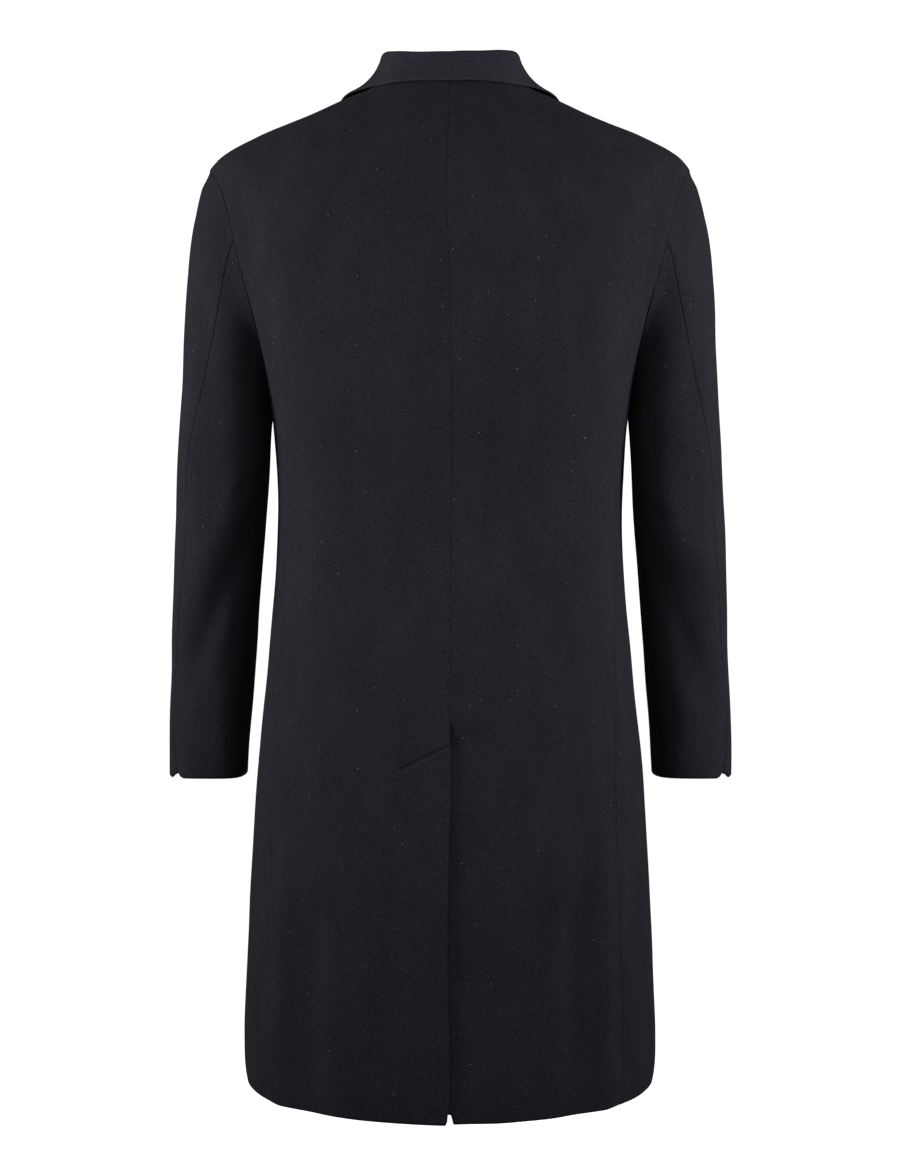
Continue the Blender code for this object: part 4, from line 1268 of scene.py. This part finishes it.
def back_panel(side, word):
    """Half of the back, from the centre line to the side seam. The right one runs on under the vent."""
    marks = np.array([NECK_ANGLE, SHOULDER_TURN_ANGLE, SHOULDER_ANGLE])
    marks = marks / (SIDE_SEAM_TOP - SIDE_GAP_ANGLE)
    dense = [(marks[0] * BACK_WIDTH, marks[2] * BACK_WIDTH + GRID_STEP, SHOULDER_STEP)]
    if side > 0:
        dense.append((0, TACK_REACH, TACK_STEP))
    else:
        dense.append(NOTCH_DENSE)
    share = knots(BACK_WIDTH, marks, dense)
    tack = PANEL_LENGTH * to_rise(VENT_TOP)
    rise = knots(PANEL_LENGTH, (), [(tack - TACK_DROP, tack + TACK_STEP, TACK_STEP)])[:, None]
    height = torso(0.0, rise)[..., 2]
    seam = SIDE_SEAM.at(rise, word) - SIDE_GAP_ANGLE
    shift = CENTRE_LINE.at(height, "seam") * side
    if side > 0:
        shift = shift + CENTRE_LINE.at(height, "vent")
    centre = CENTRE_GAP_ANGLE + np.degrees(shift / BODY.at(height, "half_width"))
    if side < 0:
        centre = centre - VENT_LAP * np.clip((VENT_TOP - height) / VENT_SLANT, 0, 1)
    angle = centre + (seam - centre) * share
    rise = rise + 0 * angle
    base, out = faired(torso(angle, rise), body_facing(angle, rise), angle, rise)
    if side < 0:
        under = ease((VENT_EASE_ANGLE - angle) / (VENT_EASE_ANGLE - VENT_FULL_ANGLE))
        under = under * ease((VENT_TOP + VENT_EASE - height) / VENT_EASE)
        base = base - out * (VENT_DEPTH * under)[..., None]
        low = ease((-base[..., 0] - VENT_NOTCH_START) / (VENT_NOTCH_END - VENT_NOTCH_START))
    else:
        low = np.clip(1 - distances(base)[2] / VENT_CORNER, 0, 1) ** 2 * VENT_CORNER / VENT_NOTCH_LIFT
    near_hem = np.clip(1 - distances(base)[0] / VENT_NOTCH_REACH, 0, 1) ** 2
    base[..., 2] += VENT_NOTCH_LIFT * low * near_hem
    seen = base * [side, 1, 1]
    lifts = relief(seen, out)
    if side > 0:
        lifts = lifts + creases(seen, VENT_TACK)
    centre_edge = vent_edge(ease((VENT_TOP - height) / VENT_SLANT))
    edges = (free_edge(), soft_seam(), centre_edge, side_seam(rise))
    piece = shell("back_panel_" + word, base, out, lifts, edges, body_wool(), side, turn_up(base))
    cloth("back_" + word)


def front_panel(side, word, lift):
    """One front, from the side-back seam round to its overlapping edge and up to the roll line."""
    first = front_angle(0.0, 1.0)
    marks = np.array([180 - SHOULDER_ANGLE, 180 - SHOULDER_TURN_ANGLE, 180 - NECK_ANGLE]) - first
    marks = marks / (FRONT_EDGE_ANGLE - first)
    dense = [(marks[0] * FRONT_WIDTH - GRID_STEP, marks[2] * FRONT_WIDTH, FRONT_SHOULDER_STEP)]
    share = knots(FRONT_WIDTH, marks, dense)
    rise = knots(PANEL_LENGTH)[:, None] * front_top(share)
    angle = front_angle(share, rise)
    if side < 0:
        angle = angle + (SIDE_SEAM.at(rise, "right") - SIDE_SEAM.at(rise, "left")) * (1 - share)
    base, out = faired(torso(angle, rise), body_facing(angle, rise), angle, rise)
    base = lifted(base, out, lift)
    lifts = relief(base * [side, 1, 1], out)
    edges = (free_edge(), soft_seam(), side_seam(rise), free_edge())
    piece = shell("front_panel_" + word, base, out, lifts, edges, body_wool(), side, turn_up(base))
    cloth("front_" + word)


def lapel(side, word, lift):
    """Turned-back part of a front: it lies on the front and rolls round the fold to the inside."""
    share = knots(LAPEL_LENGTH)[:, None]
    width = knots(LAPEL_WIDTH)
    fold_height = LAPEL_FOOT + (GORGE_HEIGHT - LAPEL_FOOT) * share
    fold = np.stack([roll_line(fold_height) + LAPEL_INSET, fold_height], axis=-1)
    edge = np.stack([LAPEL_EDGE.at(share, "x"), LAPEL_EDGE.at(share, "z")], axis=-1)
    flat = fold + (edge - fold) * width[:, None]
    flat[..., 1] -= PEAK_DIP * share ** PEAK_SHARPNESS * np.sin(np.pi * width)
    point, out = on_front(flat[..., 0], flat[..., 1], lift)
    top = LAPEL_LIFT + CLOTH
    base = point + out * top
    round_radius = (top + CLOTH) / 2
    turn = np.radians(np.linspace(-90, 90, LAPEL_ROLL_POINTS)[:-1])[:, None]
    opening = unit(point[:, :1] - point[:, LAPEL_PROBE_COLUMN, None])
    roll_out = opening * np.cos(turn) + out[:, :1] * np.sin(turn)
    middle = point[:, :1] + opening * LAPEL_INSET + out[:, :1] * (top - round_radius)
    roll = middle + roll_out * round_radius
    grid = np.concatenate([roll, base], axis=1)
    grid_out = np.concatenate([roll_out, out], axis=1)
    under = np.concatenate([point[:, :1] + 0 * roll, point], axis=1)
    under_out = np.concatenate([out[:, :1] + 0 * roll, out], axis=1)
    lifts = relief(under * [side, 1, 1], under_out)
    grid = grid + under_out * lifts[..., None]
    edges = (free_edge(), free_edge(), seam_edge(), free_edge())
    piece = shell("lapel_panel_" + word, grid, grid_out, 0 * lifts, edges, body_wool(), side)
    cloth("lapel_" + word)


def sleeve_piece(side, word, from_elbow):
    """Top or under sleeve. The elbow seam opens at the cuff as a short vent with rounded corners."""
    rise = knots(SLEEVE_LENGTH)[:, None]
    step = 360 / ARMHOLE_STEPS
    opening = SLEEVE_GAP_TURN + CUFF_VENT_OPENING * ease(1 - rise / CUFF_VENT_RISE)
    elbow = ELBOW_SEAM.at(rise, "turn")
    fore = FORE_SEAM_STEP * step
    if from_elbow:
        start, end = elbow + opening, fore - SLEEVE_GAP_TURN
        kind = "under_sleeve"
    else:
        start, end = fore + SLEEVE_GAP_TURN, 360 + elbow - opening
        kind = "top_sleeve"
    turn = start + (end - start) * knots(CUT[kind][0])
    rise = rise + 0 * turn
    base = sleeve(turn, rise)
    out = -facing(sleeve, turn, rise)
    low, _, first, last = distances(base)
    near_cuff = np.clip(1 - low / CUFF_CORNER_REACH, 0, 1) ** 2
    if from_elbow:
        inside = np.clip(1 - first / CUFF_CORNER, 0, 1)
        base[..., 2] += CUFF_CORNER * (1 - np.sqrt(1 - inside ** 2)) * near_cuff
    else:
        base[..., 2] += CUFF_SHORT * ease(1 - last / CUFF_SHORT_REACH) * near_cuff
    behind = LEFT_SLEEVE_CREASES if side > 0 else RIGHT_SLEEVE_CREASES
    before = FORE_ARM_CREASES if side > 0 else mirrored(FORE_ARM_CREASES)
    seen = base * [side, 1, 1]
    lifts = relief(seen, out, behind, before)
    lifts = lifts + (waves(seen) - lifts) * ease(1 - (1 - rise) / SLEEVE_HEAD_RISE)
    elbow_edge = vent_edge(ease(1 - rise[:, :1] / CUFF_VENT_RISE))
    sides = (elbow_edge, seam_edge()) if from_elbow else (seam_edge(), elbow_edge)
    depth, width, roundness = soft_seam()
    depth = depth * (1 - CAP_FULLNESS * ease(out[-1, :, 2] / CAP_SLOPE))
    edges = (free_edge(), (depth, width, roundness), *sides)
    piece = shell(kind + "_panel_" + word, base, out, lifts, edges, body_wool(), side, turn_up(base))
    cloth(kind + "_" + word)


def collar_piece():
    """Stand and fall in one, folded over along the roll: the profile is carried round the neck."""
    share = knots(COLLAR_HALF_LENGTH)
    share = share[share > EDGE_PLACES[-1] / COLLAR_HALF_LENGTH]
    share = np.concatenate([[0.0], share])
    seam = collar_seam(share)
    edge = collar_edge(share)
    away = unit((seam - [0, NECK_MIDDLE, 0]) * [1, 1, 0])
    up = np.array([0, 0, 1.0])
    roll = seam + up * COLLAR.at(share, "stand")[:, None] - away * COLLAR.at(share, "lean")[:, None]
    foot = seam + up * LAYER_GAP - away * CLOTH
    turn = np.radians(np.linspace(0, 180, COLLAR_ROLL_POINTS))[:, None, None]
    bend = roll + COLLAR_ROLL * (up * np.sin(turn) - away * np.cos(turn))
    part = np.linspace(0, 1, COLLAR_STAND_POINTS)[:-1, None, None]
    stand = foot + (bend[0] - foot) * part
    part = knots(COLLAR_FALL)[1:, None, None]
    hollow = 4 * part * (1 - part) * COLLAR.at(share, "hollow")[:, None]
    fall = bend[-1] + (edge - bend[-1]) * part - (away + up) * hollow
    half = np.concatenate([stand, bend, fall])
    base = np.concatenate([half[:, :0:-1] * [-1, 1, 1], half], axis=1)
    out = unit(np.cross(np.gradient(base, axis=1), np.gradient(base, axis=0)))
    edges = (seam_edge(), free_edge(), free_edge(), free_edge())
    finish = bpy.context.scene.coat_finish
    # Painted light: the collar gets a lighter copy of the body wool, standing in for the extra light
    # and sheen its nap catches.
    wool = brushed_wool("fulled_wool_collar", finish.collar_lift)
    piece = shell("collar_piece", base, out, waves(base), edges, wool)
    cloth("collar")


def button_place(across, height):
    """Point of the left front under a button, with its relief, and the directions right, up and out."""
    point, out = on_front(across, height, FRONT_LIFT)
    point = point + out * relief(point, out)[..., None]
    right = unit(np.cross([0, 0, 1.0], out))
    return point, right, np.cross(out, right), out


def button(number, across, height, material):
    """Turned button: its half section is carried round, and four holes are sunk by a smooth step."""
    sizes = bpy.context.scene.coat_sizes
    radius = sizes.button_width / 2
    step = np.linspace(0, BUTTON_PROFILE.keys[-1], BUTTON_RINGS)
    turn = round_turn(ROUND_SIDES)
    reach = BUTTON_PROFILE.at(step, "out")[:, None] * radius
    flat = np.stack([reach * np.cos(turn), reach * np.sin(turn)], axis=-1)
    level = BUTTON_PROFILE.at(step, "up")[:, None] * sizes.button_thickness + 0 * turn
    corners = np.array([[1, 1], [1, -1], [-1, 1], [-1, -1]]) * radius * HOLE_PLACE
    nearest = np.linalg.norm(flat[..., None, :] - corners, axis=-1).min(axis=-1)
    dish = (step < DISH_STEP)[:, None]
    hole = ease((sizes.button_hole - nearest) / (HOLE_SOFTNESS * sizes.button_hole)) * dish
    level = level - hole * sizes.button_thickness * HOLE_DEPTH
    point, right, upright, out = button_place(across, height)
    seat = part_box("button_" + str(number))
    middle = np.array((seat[0] + seat[1]) / 2)
    lowest = (middle - point) @ out - sizes.button_thickness / 2
    point = point + out * max(lowest, SEAM_GAP)
    grid = point + flat[..., :1] * right + flat[..., 1:] * upright + level[..., None] * out
    faces = ring_faces(BUTTON_RINGS, ROUND_SIDES)
    piece = weld(put("horn_button_" + str(number), grid.reshape(-1, 3), faces, material, "button_horn"))
    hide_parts("button_" + str(number))
    return point, right, upright, out, corners


def button_thread(point, right, upright, out, corners):
    """Three strands across each pair of holes: low arches that dip into the holes at both ends."""
    sizes = bpy.context.scene.coat_sizes
    share = np.linspace(0, 1, THREAD_POINTS)
    arch = np.minimum(np.sin(np.pi * share) * ARCH_FULLNESS, 1)
    dish = sizes.button_thickness * BUTTON_PROFILE.columns["up"][0]
    level = dish + sizes.thread * (ARCH_HEIGHT * arch - ARCH_SINK)
    pieces = []
    for first, second in ((0, 1), (2, 3)):
        for strand in (-1, 0, 1):
            line = corners[first] + (corners[second] - corners[first]) * share[:, None]
            line = line + [strand * sizes.thread * STRAND_SPACING, 0]
            path = point + line[:, :1] * right + line[:, 1:] * upright + level[:, None] * out
            pieces.append(tube(path, sizes.thread / 2))
    return joined(pieces)


def worked_buttonhole(height):
    """Worked slit beside a fastened button: a long loop of stitches, thick and thin by turns."""
    sizes = bpy.context.scene.coat_sizes
    turn = np.linspace(0, 2 * np.pi, STITCH_POINTS)
    half = sizes.buttonhole / 2
    across = -BUTTON_SIDE + half * BUTTONHOLE_SHIFT + half * np.cos(turn)
    loop = np.clip(np.sin(turn) * BUTTONHOLE_SQUARENESS, -1, 1)
    point, out = on_front(across, height + BUTTONHOLE_HALF_WIDTH * loop, FRONT_LIFT)
    path = point + out * (relief(point, out) + BUTTONHOLE_RAISE)[..., None]
    return tube(path, sizes.thread * (STITCH_RADIUS + STITCH_SWELL * np.sin(turn * STITCHES)))


def area_light(name, place, target, size, power):
    """Soft light of a rectangle that points at a target and isn't seen itself."""
    lamp = bpy.data.lights.new(name, "AREA")
    lamp.shape = "RECTANGLE"
    lamp.size, lamp.size_y = size
    lamp.energy = power
    lamp.spread = np.radians(LIGHT_SPREAD)
    thing = bpy.data.objects.new(name, lamp)
    thing.location = place
    thing.rotation_euler = (Vector(target) - Vector(place)).to_track_quat("-Z", "Y").to_euler()
    thing.visible_camera = False
    bpy.context.scene.collection.objects.link(thing)


class COAT_OT_backs(bpy.types.Operator):
    """Build the two back panels with the centre seam and the vent"""

    bl_idname = "coat.backs"
    bl_label = "Back panels"

    def execute(self, context):
        back_panel(1, "left")
        back_panel(-1, "right")
        return {"FINISHED"}


class COAT_OT_fronts(bpy.types.Operator):
    """Build the two fronts, the left one lapping over the right"""

    bl_idname = "coat.fronts"
    bl_label = "Fronts"

    def execute(self, context):
        front_panel(1, "left", FRONT_LIFT)
        front_panel(-1, "right", 0.0)
        return {"FINISHED"}


class COAT_OT_lapels(bpy.types.Operator):
    """Build the two peaked lapels"""

    bl_idname = "coat.lapels"
    bl_label = "Lapels"

    def execute(self, context):
        lapel(1, "left", FRONT_LIFT)
        lapel(-1, "right", 0.0)
        return {"FINISHED"}


class COAT_OT_sleeves(bpy.types.Operator):
    """Build the two-piece sleeves with their cuff vents"""

    bl_idname = "coat.sleeves"
    bl_label = "Sleeves"

    def execute(self, context):
        for side, word in ((1, "left"), (-1, "right")):
            sleeve_piece(side, word, False)
            sleeve_piece(side, word, True)
        return {"FINISHED"}


class COAT_OT_collar(bpy.types.Operator):
    """Build the turned-down collar"""

    bl_idname = "coat.collar"
    bl_label = "Collar"

    def execute(self, context):
        collar_piece()
        return {"FINISHED"}


class COAT_OT_buttons(bpy.types.Operator):
    """Build the buttons, the thread that sews them on and the worked buttonholes"""

    bl_idname = "coat.buttons"
    bl_label = "Buttons and buttonholes"

    def execute(self, context):
        horn = dark_horn()
        threads = []
        number = 0
        for height in BUTTON_ROW.columns["height"]:
            for across in (BUTTON_SIDE, -BUTTON_SIDE):
                number += 1
                threads.append(button_thread(*button(number, across, height, horn)))
        weld(put("button_thread", *joined(threads), buttonhole_twist(), "button_horn"))
        holes = [worked_buttonhole(height) for height in BUTTON_ROW.columns["height"]]
        weld(put("worked_buttonholes", *joined(holes), buttonhole_twist(), "brushed_wool"))
        return {"FINISHED"}


class COAT_OT_stage(bpy.types.Operator):
    """Set up the pale floor, the soft lights and the camera behind the coat"""

    bl_idname = "coat.stage"
    bl_label = "Studio"

    def execute(self, context):
        stage = context.scene.coat_stage
        turn = round_turn(ROUND_SIDES)
        reach = FLOOR_RINGS[:, None]
        flat = np.stack([reach * np.cos(turn), reach * np.sin(turn),
                         stage.floor_drop + 0 * reach * turn], axis=-1)
        faces = ring_faces(len(FLOOR_RINGS), ROUND_SIDES)
        floor = weld(new_object("studio_floor", flat.reshape(-1, 3), faces, studio_paper()))
        world = bpy.data.worlds.new("white_surround")
        world.use_nodes = True
        background = world.node_tree.nodes["Background"]
        background.inputs["Color"].default_value = (1, 1, 1, 1)
        background.inputs["Strength"].default_value = stage.surround
        context.scene.world = world
        for kind, words, place, target, size, signs in LIGHT_PAIRS:
            for word, flip in zip(words, ((1, 1, 1), signs)):
                area_light(kind + "_" + word, np.multiply(place, flip), np.multiply(target, flip), size,
                           getattr(stage, kind))
        camera = bpy.data.objects.new("camera", bpy.data.cameras.new("camera"))
        camera.data.lens = camera.data.sensor_width * stage.camera_distance / stage.view_height
        camera.location = (0, stage.camera_distance, stage.camera_height)
        camera.rotation_euler = (np.pi / 2, 0, np.pi)
        context.scene.collection.objects.link(camera)
        context.scene.camera = camera
        context.scene.view_settings.view_transform = "Standard"
        return {"FINISHED"}


class COAT_PT_panel(bpy.types.Panel):
    """Sizes, finishes and steps of the coat"""

    bl_idname = "COAT_PT_panel"
    bl_label = "Double-breasted coat"
    bl_space_type = "VIEW_3D"
    bl_region_type = "UI"
    bl_category = "Coat"

    def draw(self, context):
        scene = context.scene
        for group in (scene.coat_sizes, scene.coat_finish, scene.coat_stage):
            box = self.layout.box()
            for name in group.__annotations__:
                box.prop(group, name)
        for step in STEPS:
            self.layout.operator(step.bl_idname)


GROUPS = {"coat_sizes": CoatSizes, "coat_finish": CoatFinish, "coat_stage": CoatStage}
STEPS = (COAT_OT_backs, COAT_OT_fronts, COAT_OT_lapels, COAT_OT_sleeves, COAT_OT_collar,
         COAT_OT_buttons, COAT_OT_stage)


def register():
    """Register the groups, the operators and the panel."""
    for name, group in GROUPS.items():
        bpy.utils.register_class(group)
        setattr(bpy.types.Scene, name, PointerProperty(type=group))
    for made in (*STEPS, COAT_PT_panel):
        bpy.utils.register_class(made)


def unregister():
    """Undo register."""
    for made in (COAT_PT_panel, *reversed(STEPS)):
        bpy.utils.unregister_class(made)
    for name, group in GROUPS.items():
        delattr(bpy.types.Scene, name)
        bpy.utils.unregister_class(group)


def main():
    """Register the classes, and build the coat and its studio."""
    register()
    bpy.ops.coat.backs()
    bpy.ops.coat.fronts()
    bpy.ops.coat.lapels()
    bpy.ops.coat.sleeves()
    bpy.ops.coat.collar()
    bpy.ops.coat.buttons()
    bpy.ops.coat.stage()


if __name__ == "__main__":
    main()
